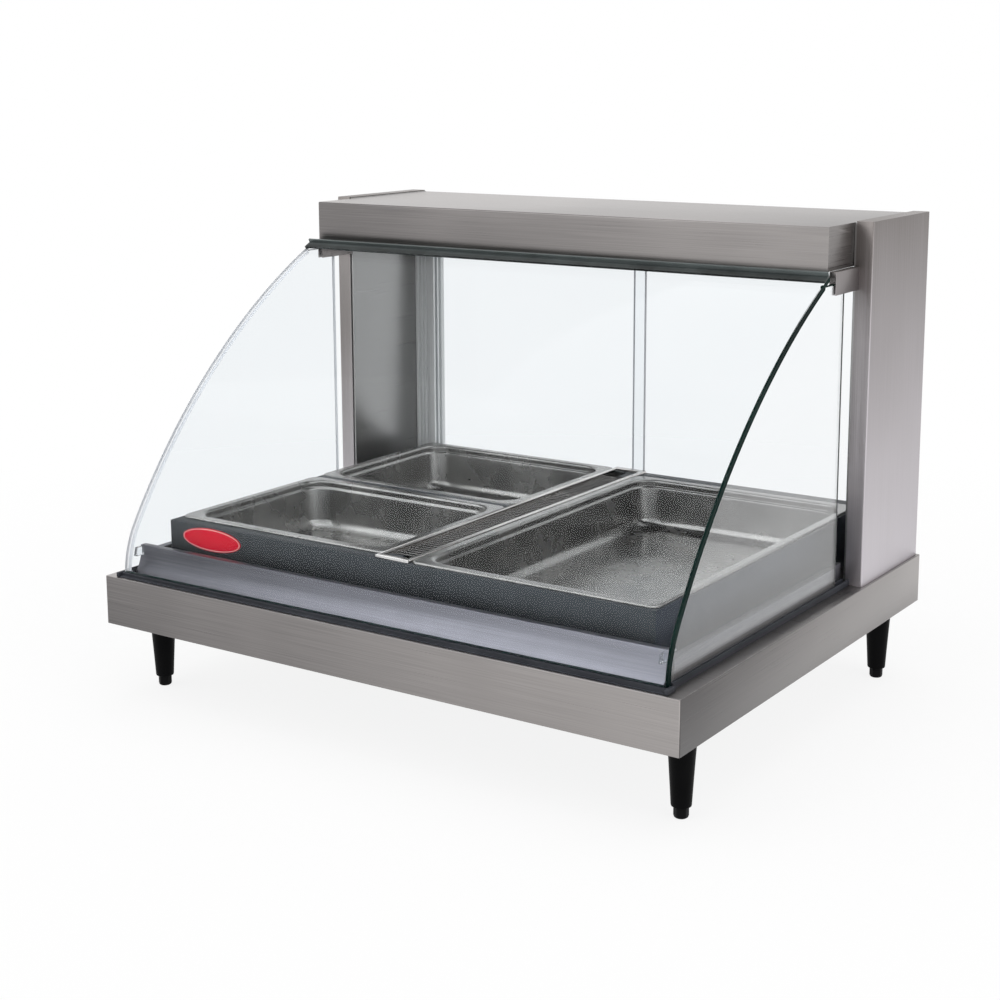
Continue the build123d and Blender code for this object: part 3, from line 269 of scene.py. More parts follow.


# The slopes and the shifts on ends, tops and fronts below are painted light; the negative ones are painted
# shade.
stainless = brushed("stainless", seen(94, 92, 92), seen(190, 185, 183),
                    painted_slope_x=0.2, ends=(-0.8, 0.07), top=0.06, front=-0.09)
post_steel = brushed("post_steel", seen(130, 125, 123), seen(212, 207, 212), (0.36, 0.5), upright=True,
                     painted_slope_x=0.2, painted_slope_z=-0.5, ends=(-0.1, -0.1), front=-0.16)
panel_steel = brushed("panel_steel", seen(140, 140, 140), seen(176, 175, 174))
zinc_sheet = brushed("zinc_sheet", seen(150, 152, 154), seen(186, 188, 190), (0.38, 0.55), 260.0, 90.0)
tray_steel = brushed("tray_steel", seen(150, 150, 150), seen(176, 176, 176), (0.35, 0.5))
screw_steel = brushed("screw_steel", seen(150, 148, 146), seen(186, 184, 180), (0.25, 0.4))
print("brushed sheets:", stainless.name, post_steel.name, zinc_sheet.name)

# %% [markdown]
# Pressing leaves the food pans and the rails between them smooth: only a slow ripple bends what they
# reflect. The wire of the grid and the reflectors over the rods have the same kind of skin, one darker
# and one lighter. Anodised aluminium, on the apron, the coamings, the door frame and the deck, mattes
# the light evenly, with the faint long lines of its extrusion. On the apron a painted light slope along
# X makes it lighter to the right.

# %% Pressed and anodised metal
def pressed_metal(name, low, high, rough, ripple, depth):
    """Bright pressed metal: a slow ripple in relief, and smudges in colour and roughness."""
    made, tree, shader = material(name, {"Metallic": 1.0})
    point = object_point(tree)
    smudge = noise(tree, point, 14.0, 4.0, 0.6)
    tree.links.new(mixed(tree, spread(tree, smudge, 0.3, 0.7), low, high), shader.inputs["Base Color"])
    tree.links.new(spread(tree, smudge, 0.3, 0.75, *rough), shader.inputs["Roughness"])
    bumped(tree, shader, noise(tree, point, ripple, 0.0), depth, 1.0)
    return made


def anodised(name, low, high, line_scale, rough=(0.3, 0.42), slope=0.0, metallic=1.0):
    """Anodised aluminium: even satin with faint lines, line_scale giving the direction. With a slope,
    painted light: the share between the two colours changes along X by that much to each side of the
    middle, lighter toward +X, and the lines take up what is left of it."""
    made, tree, shader = material(name, {"Metallic": metallic})
    point = object_point(tree)
    lines = noise(tree, stretched(tree, point, line_scale), 1.0, 2.0, 0.6)
    of_lines = spread(tree, lines, 0.3, 0.7, slope, 1.0 - slope)
    # A painted light slope along X, lighter toward +X.
    painted_light_along_x = spread(tree, split(tree, point)["X"], -0.38, 0.38, -slope, slope)
    share = sums(tree, "ADD", of_lines, painted_light_along_x)
    tree.links.new(mixed(tree, spread(tree, share, 0.0, 1.0), low, high), shader.inputs["Base Color"])
    tree.links.new(spread(tree, noise(tree, point, 60.0), 0.3, 0.7, *rough), shader.inputs["Roughness"])
    bumped(tree, shader, lines, 0.00001, 0.5)
    return made


pan_steel = pressed_metal("pan_steel", seen(130, 130, 129), seen(164, 163, 161), (0.2, 0.32), 7.0, 0.0001)
bright_steel = pressed_metal("bright_steel", seen(196, 192, 190), seen(228, 225, 222), (0.1, 0.2),
                             12.0, 0.00005)
wire_steel = pressed_metal("wire_steel", seen(92, 90, 89), seen(126, 124, 122), (0.2, 0.3), 12.0, 0.00005)
reflector_sheet = pressed_metal("reflector_sheet", seen(222, 221, 219), seen(240, 239, 236), (0.08, 0.16),
                                12.0, 0.0001)
# The apron's slope of 0.4 is painted light, lighter to the right.
apron_metal = anodised("apron_metal", seen(86, 86, 91), seen(156, 156, 165), (5.0, 600.0, 600.0), slope=0.4)
coaming_metal = anodised("coaming_metal", seen(98, 99, 105), seen(120, 121, 127), (600.0, 5.0, 600.0))
jamb_metal = anodised("jamb_metal", seen(232, 234, 234), seen(246, 247, 247), (600.0, 600.0, 5.0),
                      metallic=0.2)
track_metal = anodised("track_metal", seen(160, 163, 167), seen(190, 192, 195), (5.0, 600.0, 600.0))
deck_metal = anodised("deck_metal", seen(112, 112, 114), seen(134, 134, 136), (6.0, 500.0, 500.0),
                      (0.4, 0.55))
print("pressed:", pan_steel.name, bright_steel.name, "anodised:", apron_metal.name, jamb_metal.name)

# %% [markdown]
# The box under the pans is coated dark slate, a fired finish that is smooth but not even: it has a
# fine orange-peel relief. Painted light makes it lighter near its top, lighter to the right, and lighter
# and bluer on its faces that look toward +X. Rubber, moulded plastic and the black legs are the same
# recipe with other numbers, a fine grain for relief and a little dust in colour. The hinge rail takes
# the same painted rise with height: grey-green painted light along its top over black painted shade.

# %% Coated, moulded and rubber finishes
def coated(name, low, high, rough, grain, depth, metallic=0.0, painted_rise=None, plain=None, side=None):
    """A fired, painted or moulded skin: two colours by dust noise, and grain relief. A low and a high level
    in metres, if given, make three quarters of the share rise with height between them, as painted light.
    side is a third colour, painted light on faces that look toward +X, and with it the share also rises
    along X, painted light too."""
    made, tree, shader = material(name, {"Metallic": metallic, **(plain or {})})
    point = object_point(tree)
    dust = noise(tree, point, 22.0, 4.0, 0.6)
    factor = spread(tree, dust, 0.3, 0.72)
    # Painted light: the share rises with height, lighter toward the top.
    if painted_rise:
        rise = spread(tree, split(tree, point)["Z"], *painted_rise, 0.0, 0.75)
        factor = sums(tree, "ADD", sums(tree, "MULTIPLY", factor, 0.25), rise)
    # Painted light: lighter toward +X.
    if side:
        factor = sums(tree, "ADD", factor, spread(tree, split(tree, point)["X"], -0.35, 0.35, -0.25, 0.3))
    colour = mixed(tree, factor, low, high)
    # Painted light: the third colour on faces that look toward +X.
    if side:
        to_right = split(tree, object_normal(tree))["X"]
        colour = mixed(tree, spread(tree, to_right, 0.3, 0.9), colour, side)
    tree.links.new(colour, shader.inputs["Base Color"])
    tree.links.new(spread(tree, dust, 0.3, 0.7, *rough), shader.inputs["Roughness"])
    bumped(tree, shader, noise(tree, point, grain, 2.0), depth, 0.1)
    return made


# The slate's rise with height and its colour toward +X are painted light.
slate = coated("slate", seen(24, 27, 29), seen(66, 70, 74), (0.42, 0.52), 900.0, 0.00006, 0.4,
               painted_rise=(0.16, 0.228), plain={"Specular IOR Level": 0.2}, side=seen(64, 69, 78))
leg_black = coated("leg_black", seen(6, 6, 7), seen(13, 13, 14), (0.4, 0.5), 700.0, 0.00005,
                   plain={"Specular IOR Level": 0.05})
foot_metal = coated("foot_metal", seen(7, 7, 8), seen(16, 16, 17), (0.4, 0.5), 900.0, 0.00004,
                    plain={"Specular IOR Level": 0.08})
moulded_black = coated("moulded_black", seen(24, 24, 25), seen(40, 40, 42), (0.36, 0.5), 1400.0, 0.00008)
# The rail's rise is painted light: grey-green at its top over black, painted shade, below.
rail_black = coated("rail_black", seen(30, 33, 33), seen(104, 112, 112), (0.3, 0.4), 600.0, 0.00003, 0.5,
                    painted_rise=(0.5475, 0.5535), plain={"Specular IOR Level": 0.3})
gasket_grey = coated("gasket_grey", seen(38, 40, 46), seen(60, 62, 68), (0.45, 0.6), 800.0, 0.00008,
                     plain={"Specular IOR Level": 0.2})
badge_red = coated("badge_red", seen(196, 4, 34), seen(212, 10, 46), (0.4, 0.5), 120.0, 0.00002,
                   plain={"Specular IOR Level": 0.1, "Coat Weight": 0.05, "Coat Roughness": 0.2})
badge_edge = coated("badge_edge", seen(226, 222, 220), seen(238, 236, 232), (0.3, 0.4), 500.0, 0.00002)
mark_white = coated("mark_white", seen(222, 222, 218), seen(240, 240, 236), (0.5, 0.6), 500.0, 0.00002)
ceramic_white = coated("ceramic_white", seen(224, 218, 204), seen(240, 236, 224), (0.22, 0.4),
                       300.0, 0.00008)
sheath_brown = coated("sheath_brown", seen(78, 70, 64), seen(124, 112, 102), (0.35, 0.55),
                      500.0, 0.00005, 0.9)
wool_mat = coated("wool_mat", seen(196, 184, 148), seen(228, 218, 190), (0.85, 0.95), 420.0, 0.0012)
braid_black = coated("braid_black", seen(30, 30, 30), seen(58, 58, 58), (0.6, 0.75), 1500.0, 0.0004)
lens_red = coated("lens_red", seen(170, 20, 14), seen(214, 40, 24), (0.1, 0.18), 300.0, 0.00002,
                  plain={"Transmission Weight": 0.35, "Coat Weight": 0.4})
stop_plastic = coated("stop_plastic", seen(240, 243, 246), seen(248, 250, 252), (0.05, 0.12), 400.0, 0.00002,
                      plain={"Transmission Weight": 0.96, "IOR": 1.2})
lamp_frost = coated("lamp_frost", seen(240, 236, 226), seen(250, 248, 242), (0.35, 0.45), 600.0, 0.00003,
                    plain={"Transmission Weight": 0.5, "IOR": 1.45})
print("coated finishes:", slate.name, leg_black.name, rail_black.name, gasket_grey.name)

# %% [markdown]
# Toughened glass is clear on its faces and green where one looks along it, through its edges. A real
# pane is modelled here, 6 mm thick with two faces, so the shader only needs to let light through:
# each face tints it a little toward blue. The edges get a glass of their own, ground to a satin: dark
# green on the right, where one looks into the pane, and on the left and at the rear a pale copy, a
# painted highlight where the edges catch the light.

# %% Glass
def clear_glass(name, tint, other, rough=0.0, index=1.25, through=1.0):
    """Glass tinted between two near colours by a broad film. Lamp rays pass it with no more than the tint,
    so that it casts no solid shadow. The index sets how much it reflects: a low one keeps the front glass
    clear, and a high one lets the right side glass mirror the room."""
    plain = {"Transmission Weight": through, "IOR": index, "Roughness": rough}
    made, tree, shader = material(name, plain)
    film = noise(tree, object_point(tree), 9.0, 3.0)
    tree.links.new(mixed(tree, spread(tree, film, 0.35, 0.7), tint, other), shader.inputs["Base Color"])
    lamp_ray = add(tree, "ShaderNodeLightPath").outputs["Is Shadow Ray"]
    passing = add(tree, "ShaderNodeBsdfTransparent", {"Color": tint})
    blend = add(tree, "ShaderNodeMixShader", {0: lamp_ray, 1: shader.outputs[0], 2: passing.outputs[0]})
    tree.links.new(blend.outputs[0], tree.nodes["Material Output"].inputs["Surface"])
    return made


pane_clear = clear_glass("pane_clear", (0.936, 0.952, 0.962, 1.0), (0.942, 0.957, 0.966, 1.0), index=1.12)
side_clear = clear_glass("side_clear", (0.950, 0.962, 0.970, 1.0), (0.956, 0.967, 0.974, 1.0), index=1.6)
pane_edge = clear_glass("pane_edge", seen(6, 24, 22), seen(16, 40, 36), 0.3, 1.1, 0.0)
# A pale copy of the edge glass: a painted highlight on edges that catch the light.
pane_edge_painted_highlight = clear_glass("pane_edge_painted_highlight", seen(214, 216, 220), seen(228, 229, 232), 0.35, 1.3, 0.0)
pull_clear = clear_glass("pull_clear", (0.97, 0.975, 0.98, 1.0), (0.975, 0.98, 0.985, 1.0), 0.02, 1.4)
print("glass:", pane_clear.name, pane_edge.name)

# %% [markdown]
# Every new piece takes the place of a CAD node, which it hides, rides on that node's body and wears
# the finish given to it, if any. One helper does all three. Another takes a piece from arrays: it merges
# doubled points, turns all faces outward, and shades smooth with sharp creases kept, as a real surface
# catches light.

# %% Placing a piece
def settled(piece, *replaced, finish=None):
    """The piece rides on its node's body, hides the nodes it replaces and wears the finish given, if any."""
    first = replaced[0]
    if finish is not None:
        piece.data.materials.clear()
        piece.data.materials.append(finish)
    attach(piece, nodes[first]["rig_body"])
    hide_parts(*replaced)
    return piece


def closed_piece(name, points, faces, crease=35.0):
    """A piece from an array of points and lists of faces: welded, turned outward, smooth but creased."""
    mesh = bpy.data.meshes.new(name)
    corners = np.asarray(points, float).reshape(-1, 3).tolist()
    mesh.from_pydata(corners, [], [list(map(int, face)) for face in faces])
    work = bmesh.new()
    work.from_mesh(mesh)
    bmesh.ops.remove_doubles(work, verts=work.verts, dist=1e-7)
    bmesh.ops.recalc_face_normals(work, faces=work.faces)
    work.to_mesh(mesh)
    work.free()
    mesh.shade_smooth()
    mesh.set_sharp_from_angle(angle=math.radians(crease))
    piece = bpy.data.objects.new(name, mesh)
    bpy.context.scene.collection.objects.link(piece)
    even = piece.modifiers.new("even", "WEIGHTED_NORMAL")
    even.keep_sharp = True
    even.weight = 100
    return piece


def net(rows, columns, wrap_rows=False):
    """Quads of a grid of points, rows by columns. Each row is joined to its own start, and the last row
    to the first where the rows wrap."""
    r = np.arange(rows if wrap_rows else rows - 1)[:, None]
    c = np.arange(columns)[None, :]
    r2, c2 = (r + 1) % rows, (c + 1) % columns
    corners = [r * columns + c, r * columns + c2, r2 * columns + c2, r2 * columns + c]
    return np.stack([np.broadcast_to(x, np.broadcast(r, c).shape) for x in corners], -1).reshape(-1, 4)


def capped(rows, columns):
    """The faces of a grid that wraps across, with its first and last rows closed by one face each."""
    faces = net(rows, columns).tolist()
    return faces + [list(range(columns)), list(range((rows - 1) * columns, rows * columns))]


print("a 3 by 4 wrapped net has", len(net(3, 4)), "quads")

# %% [markdown]
# A folded sheet never has a knife edge. Where a CAD node already has the right shape, its mesh is
# copied, its loose triangles are welded and flattened into faces, and a small bevel eases each edge,
# so that a thin line of light runs along every fold. The wider the ease, the softer the material.

# %% Easing the edges of folded and moulded parts
def eased(node, finish, width=0.5, segments=2):
    """A copy of a CAD node's mesh, welded and dissolved to flat faces, its edges eased by width in mm."""
    work = bmesh.new()
    work.from_mesh(nodes[node].data)
    bmesh.ops.remove_doubles(work, verts=work.verts, dist=2e-6)
    bmesh.ops.dissolve_limit(work, angle_limit=math.radians(1.0), verts=work.verts, edges=work.edges)
    mesh = bpy.data.meshes.new(node + "_eased")
    work.to_mesh(mesh)
    work.free()
    piece = bpy.data.objects.new(node + "_eased", mesh)
    bpy.context.scene.collection.objects.link(piece)
    mesh.shade_smooth()
    ease = piece.modifiers.new("ease", "BEVEL")
    ease.limit_method = "ANGLE"
    ease.angle_limit = math.radians(40)
    ease.width = width * mm
    ease.segments = segments
    ease.harden_normals = True
    ease.use_clamp_overlap = True
    return settled(piece, node, finish=finish)


folded = {
    stainless: {"base_housing": 0.5, "canopy_shell": 1.0},
    post_steel: {"post_left": 0.5, "post_right": 0.5, "side_glass_brackets": 0.4},
    panel_steel: {"control_panel": 0.4, "post_covers": 0.4},
    zinc_sheet: {"bottom_cover": 0.3, "canopy_underside": 0.3},
    slate: {"pan_skirt": 0.6, "cross_bar": 0.5},
    bright_steel: {"divider_rails": 1.0},
    rail_black: {"glass_hinge_rail": 0.5},
    screw_steel: {"glass_hinge_brackets": 0.3},
    gasket_grey: {"glass_channel": 0.4, "side_glass_gaskets": 0.25, "channel_end_caps": 0.8},
    apron_metal: {"front_apron": 0.3},
    coaming_metal: {"side_coamings": 0.3},
    jamb_metal: {"door_jambs": 0.4},
    track_metal: {"door_track_bottom": 0.4, "door_track_top": 0.4},
    stop_plastic: {"glass_stops": 0.8},
    pull_clear: {"door_pull_left": 1.0, "door_pull_right": 1.0},
    moulded_black: {
        "rocker_frames": 0.6, "thermostat_bodies": 0.8, "terminal_blocks": 0.8, "cord_gland": 0.4,
    },
    ceramic_white: {"element_insulators": 0.8, "lamp_sockets": 0.6},
}
for finish, widths in folded.items():
    for node, width in widths.items():
        eased(node, finish, width)
print("eased pieces:", sum(len(widths) for widths in folded.values()))

# %% [markdown]
# Some nodes keep their CAD mesh, because nothing finer is needed: they are round already, or they
# lie hidden in the base or under the canopy. They only get a real finish in place of the plain one.

# %% Finishes for the nodes that stay
kept_nodes = {
    "heat_deck": deck_metal,
    "base_element": sheath_brown,
    "insulation_mat": wool_mat,
    "insulation_tray": tray_steel,
    "element_reflectors": reflector_sheet,
    "heating_elements": sheath_brown,
    "indicator_lens": lens_red,
    "wire_harness": braid_black,
}
for node, finish in kept_nodes.items():
    nodes[node].data.materials.clear()
    nodes[node].data.materials.append(finish)
print("nodes kept:", len(kept_nodes))

# %% [markdown]
# A pane with a curved line is a thin section carried along that line. The section is a rectangle
# 6 mm deep with rounded arrises, and the line is two arcs that meet without a kink: a tight one at
# the foot and a long one up to the hinge. Its numbers are the CAD's own.

# %% The line of the front glass
base_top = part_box("pan_skirt")[0].z / mm
front_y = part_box("base_housing")[0].y / mm
pane = 6.0
foot_heading, lower_radius, lower_turn, upper_radius, upper_turn = 87.0, 128.0, 29.0, 880.0, 32.0
foot_set_back, foot_rise = 12.0, 5.3
foot_level = base_top + foot_rise + pane * math.cos(math.radians(foot_heading))
foot_point = np.array([front_y + foot_set_back, foot_level])


def pane_line(turned, depth):
    """Points (y, z) after turning by some degrees along the two arcs, a depth inward of the outer face.
    Each arc: its centre plus its radius less the depth, times the unit vector square to the heading."""
    turned, depth = np.broadcast_arrays(np.asarray(turned, float), np.asarray(depth, float))

    def square(heading):
        angle = np.radians(heading)
        return np.stack([-np.sin(angle), np.cos(angle)], -1)

    lower_centre = foot_point - lower_radius * square(foot_heading)
    joint = lower_centre + lower_radius * square(foot_heading - lower_turn)
    upper_centre = joint - upper_radius * square(foot_heading - lower_turn)
    in_lower = (turned <= lower_turn)[..., None]
    radius = np.where(turned <= lower_turn, lower_radius, upper_radius) - depth
    centre = np.where(in_lower, lower_centre, upper_centre)
    return centre + radius[..., None] * square(foot_heading - turned)


def turns_along(lower_steps, upper_steps):
    """The degrees turned at each point of the line, from the foot to the joint and on to the hinge."""
    lower = np.linspace(0, lower_turn, lower_steps)
    upper = np.linspace(lower_turn, lower_turn + upper_turn, upper_steps)
    return np.concatenate([lower, upper[1:]])


def rounded_loop(width, depth, corner, steps=6):
    """A rounded rectangle about the origin: four quarter turns, each about its own corner's centre."""
    angle = np.linspace(0, math.pi / 2, steps + 1)[None, :] + np.arange(4)[:, None] * math.pi / 2
    side_x = np.array([1, -1, -1, 1])[:, None] * (width / 2 - corner)
    side_y = np.array([1, 1, -1, -1])[:, None] * (depth / 2 - corner)
    return np.stack([side_x + corner * np.cos(angle), side_y + corner * np.sin(angle)], -1).reshape(-1, 2)


print("glass rises to", np.round(pane_line(lower_turn + upper_turn, 0.0), 1))

# %% Front glass
def curved_pane():
    """The section's (x, depth) loop at each turn along the line: x stays, depth goes inward."""
    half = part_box("front_glass")[1].x / mm
    loop = rounded_loop(2 * half, pane, 1.2, 3)
    turned = turns_along(16, 49)
    depth = loop[:, 1] + pane / 2
    line = pane_line(turned[:, None], depth[None, :])
    x = np.broadcast_to(loop[:, 0], line.shape[:2])
    points = np.concatenate([x[..., None], line], -1) * mm
    piece = closed_piece("front_glass_pane", points, capped(len(turned), len(loop)))
    return settled(piece, "front_glass")


def edges_marked(piece, is_face, is_pale, clear=pane_clear):
    """Three finishes: the clear one for a pane's two faces, and dark green or a pale painted highlight for
    all the others. Both tests take the array of face normals."""
    mesh = piece.data
    for finish in (clear, pane_edge, pane_edge_painted_highlight):
        mesh.materials.append(finish)
    normal = np.zeros(len(mesh.polygons) * 3)
    mesh.polygons.foreach_get("normal", normal)
    normal = normal.reshape(-1, 3)
    edge = ~is_face(normal)
    # Index 2 is the pale edge glass, a painted highlight.
    finish_index = np.where(edge, np.where(is_pale(normal), 2, 1), 0)
    mesh.polygons.foreach_set("material_index", finish_index.astype(np.int32))
    mesh.update()
    print(piece.name, "edge faces:", int(edge.sum()), "of", len(edge))


front_pane = curved_pane()
corner_counts = np.array([len(polygon.vertices) for polygon in front_pane.data.polygons])
# The front glass's left end gets the pale edge, a painted highlight.
edges_marked(front_pane, lambda n: (np.abs(n[:, 0]) < 0.3) & (corner_counts == 4), lambda n: n[:, 0] < -0.3)

# %% [markdown]
# Flat panes, the badge and other plates are all an outline with some thickness. Their edges are
# chamfered: four copies of the outline are stacked across the thickness, the outer two drawn in a
# little, and the two ends closed. Drawing in moves each point along the middle of its two sides'
# normals.

# %% Flat plates
side_gap, heel_set_back = 1.0, 20.5


def drawn_in(loop, amount):
    """The outline moved inward: each point goes along its two sides' mean inward normal."""
    side = np.roll(loop, -1, 0) - loop
    side /= np.linalg.norm(side, axis=1, keepdims=True)
    inward = np.stack([-side[:, 1], side[:, 0]], -1)
    joined = inward + np.roll(inward, 1, 0)
    share = (joined * inward).sum(1, keepdims=True)
    return loop + amount * joined / np.maximum(share, 0.4)


def plate(name, loop, low, high, chamfer, axis):
    """A plate across X (loop in y, z) or across Y (loop in x, z), from low to high, its edges chamfered."""
    turning = np.sum(loop[:, 0] * np.roll(loop[:, 1], -1) - loop[:, 1] * np.roll(loop[:, 0], -1))
    loop = loop if turning > 0 else loop[::-1]
    inner = drawn_in(loop, chamfer)
    rings = np.stack([inner, loop, loop, inner])
    levels = np.array([low, low + chamfer, high - chamfer, high])
    level = np.broadcast_to(levels[:, None, None], (4, len(loop), 1))
    first, last = rings[..., :1], rings[..., 1:]
    order = [level, first, last] if axis == "X" else [first, level, last]
    return closed_piece(name, np.concatenate(order, -1) * mm, capped(4, len(loop)), 30.0)


def side_outline():
    """The side glass outline: up the inside of the front glass's line, back, down, and round its foot."""
    lowest, highest = (np.array(corner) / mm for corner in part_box("side_glass_right"))
    line = pane_line(turns_along(14, 60), pane + side_gap)
    line = line[line[:, 1] < highest[2] - 0.5]
    heel = front_y + heel_set_back
    rest = [(highest[1], highest[2]), (highest[1], lowest[2]), (heel, lowest[2]), (heel, foot_point[1])]
    top = [(line[-1, 0] + 0.6, highest[2])]
    return np.concatenate([line, top, rest])


for side in ("left", "right"):
    low, high = (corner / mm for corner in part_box("side_glass_" + side))
    side_pane = plate(f"side_glass_{side}_pane", side_outline(), low.x, high.x, 0.7, "X")
    settled(side_pane, "side_glass_" + side)
    # The left side glass's edges get the pale painted highlight.
    edges_marked(side_pane, lambda n: np.abs(n[:, 0]) > 0.95, lambda n: np.full(len(n), side == "left"),
                 side_clear if side == "right" else pane_clear)

    low, high = (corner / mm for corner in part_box("rear_door_" + side))
    door_middle = np.array([(low.x + high.x) / 2, (low.z + high.z) / 2])
    loop = rounded_loop(high.x - low.x, high.z - low.z, 3.0, 4) + door_middle
    door_pane = plate(f"rear_door_{side}_pane", loop, low.y, high.y, 0.6, "Y")
    settled(door_pane, "rear_door_" + side)
    # All door edges get the pale painted highlight.
    edges_marked(door_pane, lambda n: np.abs(n[:, 1]) > 0.95, lambda n: np.ones(len(n), bool))

# %% [markdown]
# A food pan is pressed from one sheet: a flat rim with its edge turned down, a rounded lip, a
# shoulder for stacking, sloping walls and a wide radius into the floor. That is one profile, inset
# against height, carried round a rounded rectangle. The sheet's two faces lie half its thickness
# to each side of the profile.

# %% Pans
rim_width, sheet_thickness = 12.0, 0.9
lip_drop, wall_lean = 2.7, 6.0
shoulder_top, shoulder_foot, step_in, step_out = 9.0, 11.0, 0.6, 1.4
floor_reach, rim_corner, wall_corner = 60.0, 10.0, 30.0


def fillet_run(before, corner, after, radius, steps=6):
    """Points of an arc that rounds a corner between two straight runs."""
    before, corner, after = (np.asarray(p, float) for p in (before, corner, after))
    start, end = before - corner, after - corner
    start, end = start / np.linalg.norm(start), end / np.linalg.norm(end)
    half = math.acos(np.clip(start @ end, -1, 1)) / 2
    reach = radius / math.tan(half)
    middle = (start + end) / np.linalg.norm(start + end) * radius / math.sin(half)
    first, last = start * reach - middle, end * reach - middle
    share = np.linspace(0, 1, steps + 1)[:, None]
    sweep = math.pi - 2 * half
    arc = (np.sin((1 - share) * sweep) * first + np.sin(share * sweep) * last) / math.sin(sweep)
    return corner + middle + arc


def pan_profile(top, bottom):
    """The pan's middle line as (inset, height) from the rim's edge to the floor."""
    half = sheet_thickness / 2
    slope = math.tan(math.radians(wall_lean))
    deep = top - bottom

    def wall(drop):
        return rim_width + step_in + drop * slope

    corners = [
        (half, top - lip_drop),
        (half, top - half),
        (wall(0), top - half),
        (wall(shoulder_top) - step_in, top - shoulder_top),
        (wall(shoulder_foot) + step_out, top - shoulder_foot),
        (wall(deep) + step_out, bottom + half),
        (wall(deep) + floor_reach, bottom + half),
    ]
    radii = [0, 1.6, 3.0, 2.0, 2.0, 14.0, 0]
    runs = [np.array([corners[0]])]
    for before, corner, after, radius in zip(corners, corners[1:], corners[2:], radii[1:]):
        runs.append(fillet_run(before, corner, after, radius))
    return np.concatenate(runs)


def pressed_pan(name, node):
    """The profile's two faces, one half a sheet to each side, carried round the rounded rectangle."""
    low, high = (np.array(corner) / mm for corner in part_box(node))
    line = pan_profile(high[2], low[2])
    along = np.gradient(line, axis=0)
    along /= np.linalg.norm(along, axis=1, keepdims=True)
    across = np.stack([along[:, 1], -along[:, 0]], -1) * sheet_thickness / 2
    section = np.concatenate([(line + across)[::-1], line - across])
    section[:, 0] = np.maximum(section[:, 0], 0.0)
    section[:, 1] = np.clip(section[:, 1], low[2], high[2])
    width, length = high[0] - low[0], high[1] - low[1]
    corner = np.interp(section[:, 0], [0, rim_width], [rim_corner, wall_corner])
    rings = [rounded_loop(width - 2 * s, length - 2 * s, c, 10) for s, c in zip(section[:, 0], corner)]
    centre = (low[:2] + high[:2]) / 2
    flat = np.stack(rings) + centre
    height = np.broadcast_to(section[:, 1][:, None, None], (*flat.shape[:2], 1))
    points = np.concatenate([flat, height], -1) * mm
    print(name, "rings:", len(section), "rim:", round(width), "x", round(length))
    return settled(closed_piece(name, points, capped(*flat.shape[:2]), 40.0), node, finish=pan_steel)


for node in ("pan_full", "pan_half_front", "pan_half_rear"):
    pressed_pan(node + "_pressed", node)

# %% [markdown]
# Wires, legs, feet, knobs, lamps and screw heads are all turned or drawn: a radius that changes along
# an axis. One function turns a profile of (distance, radius) pairs round any axis. A radius may also
# depend on the angle, and that gives a knob its ribs and a foot its flats.

# %% Turned pieces
axes = {"X": np.array([[0, 1, 0], [0, 0, 1], [1, 0, 0]]), "Y": np.array([[0, 0, 1], [1, 0, 0], [0, 1, 0]]),
        "Z": np.array([[1, 0, 0], [0, 1, 0], [0, 0, 1]])}


def turned_points(profile, start, axis="Z", sides=32, shape=None):
    """Rings of points: start plus distance along the axis plus radius times (cos, sin) across it.
    shape(angle, row) multiplies the radius, so that a ring need not be round."""
    profile = np.asarray(profile, float)
    angle = np.linspace(0, 2 * math.pi, sides, endpoint=False)[None, :]
    row = np.arange(len(profile))[:, None]
    radius = profile[:, 1:] * (1.0 if shape is None else shape(angle, row))
    first, second, along = axes[axis]
    ring = radius[..., None] * (np.cos(angle)[..., None] * first + np.sin(angle)[..., None] * second)
    return np.asarray(start, float) + ring + profile[:, :1, None] * along


def joined_turns(name, turns, crease=35.0):
    """Several turned bodies, each a grid of rings, as one piece with all ends closed."""
    points, faces, count = [], [], 0
    for grid in turns:
        rows, columns = grid.shape[:2]
        points.append(grid.reshape(-1, 3))
        faces += [[index + count for index in face] for face in capped(rows, columns)]
        count += rows * columns
    return closed_piece(name, np.concatenate(points) * mm, faces, crease)


def centres(node):
    """The centre in x and y of each solid of a node whose solids stand apart, from its corner quarters."""
    co = np.array([v.co for v in nodes[node].data.vertices]) / mm
    found = []
    for sx in (-1, 1):
        for sy in (-1, 1):
            part = co[(co[:, 0] * sx > 0) & (co[:, 1] * sy > 0)]
            found.append((part[:, :2].min(0) + part[:, :2].max(0)) / 2)
    return found


leg_low, leg_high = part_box("legs")[0].z / mm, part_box("base_housing")[0].z / mm
leg_length = leg_high - leg_low
leg_profile = [(0, 10.4), (0.6, 11.2), (2.0, 11.5), (20, 12.55), (50, 14.45), (leg_length - 7.2, 16.2),
               (leg_length - 6.2, 16.6), (leg_length - 5.4, 17.2), (leg_length - 0.5, 17.3),
               (leg_length, 16.9)]
legs = [turned_points(leg_profile, (x, y, leg_low), sides=48) for x, y in centres("legs")]
settled(joined_turns("legs_turned", legs), "legs", finish=leg_black)
print("legs at", [tuple(np.round(c).astype(int)) for c in centres("legs")])

# %% Feet
def hexagon(angle, row):
    """Flats of a hexagon, held to the circle round them: cos 30 over the cosine from the nearest flat."""
    from_flat = (angle + math.pi / 6) % (math.pi / 3) - math.pi / 6
    flats = math.cos(math.pi / 6) / np.cos(from_flat) * 1.06
    return np.where((row > 1) & (row < 6), np.minimum(flats, 1.0), 1.0)


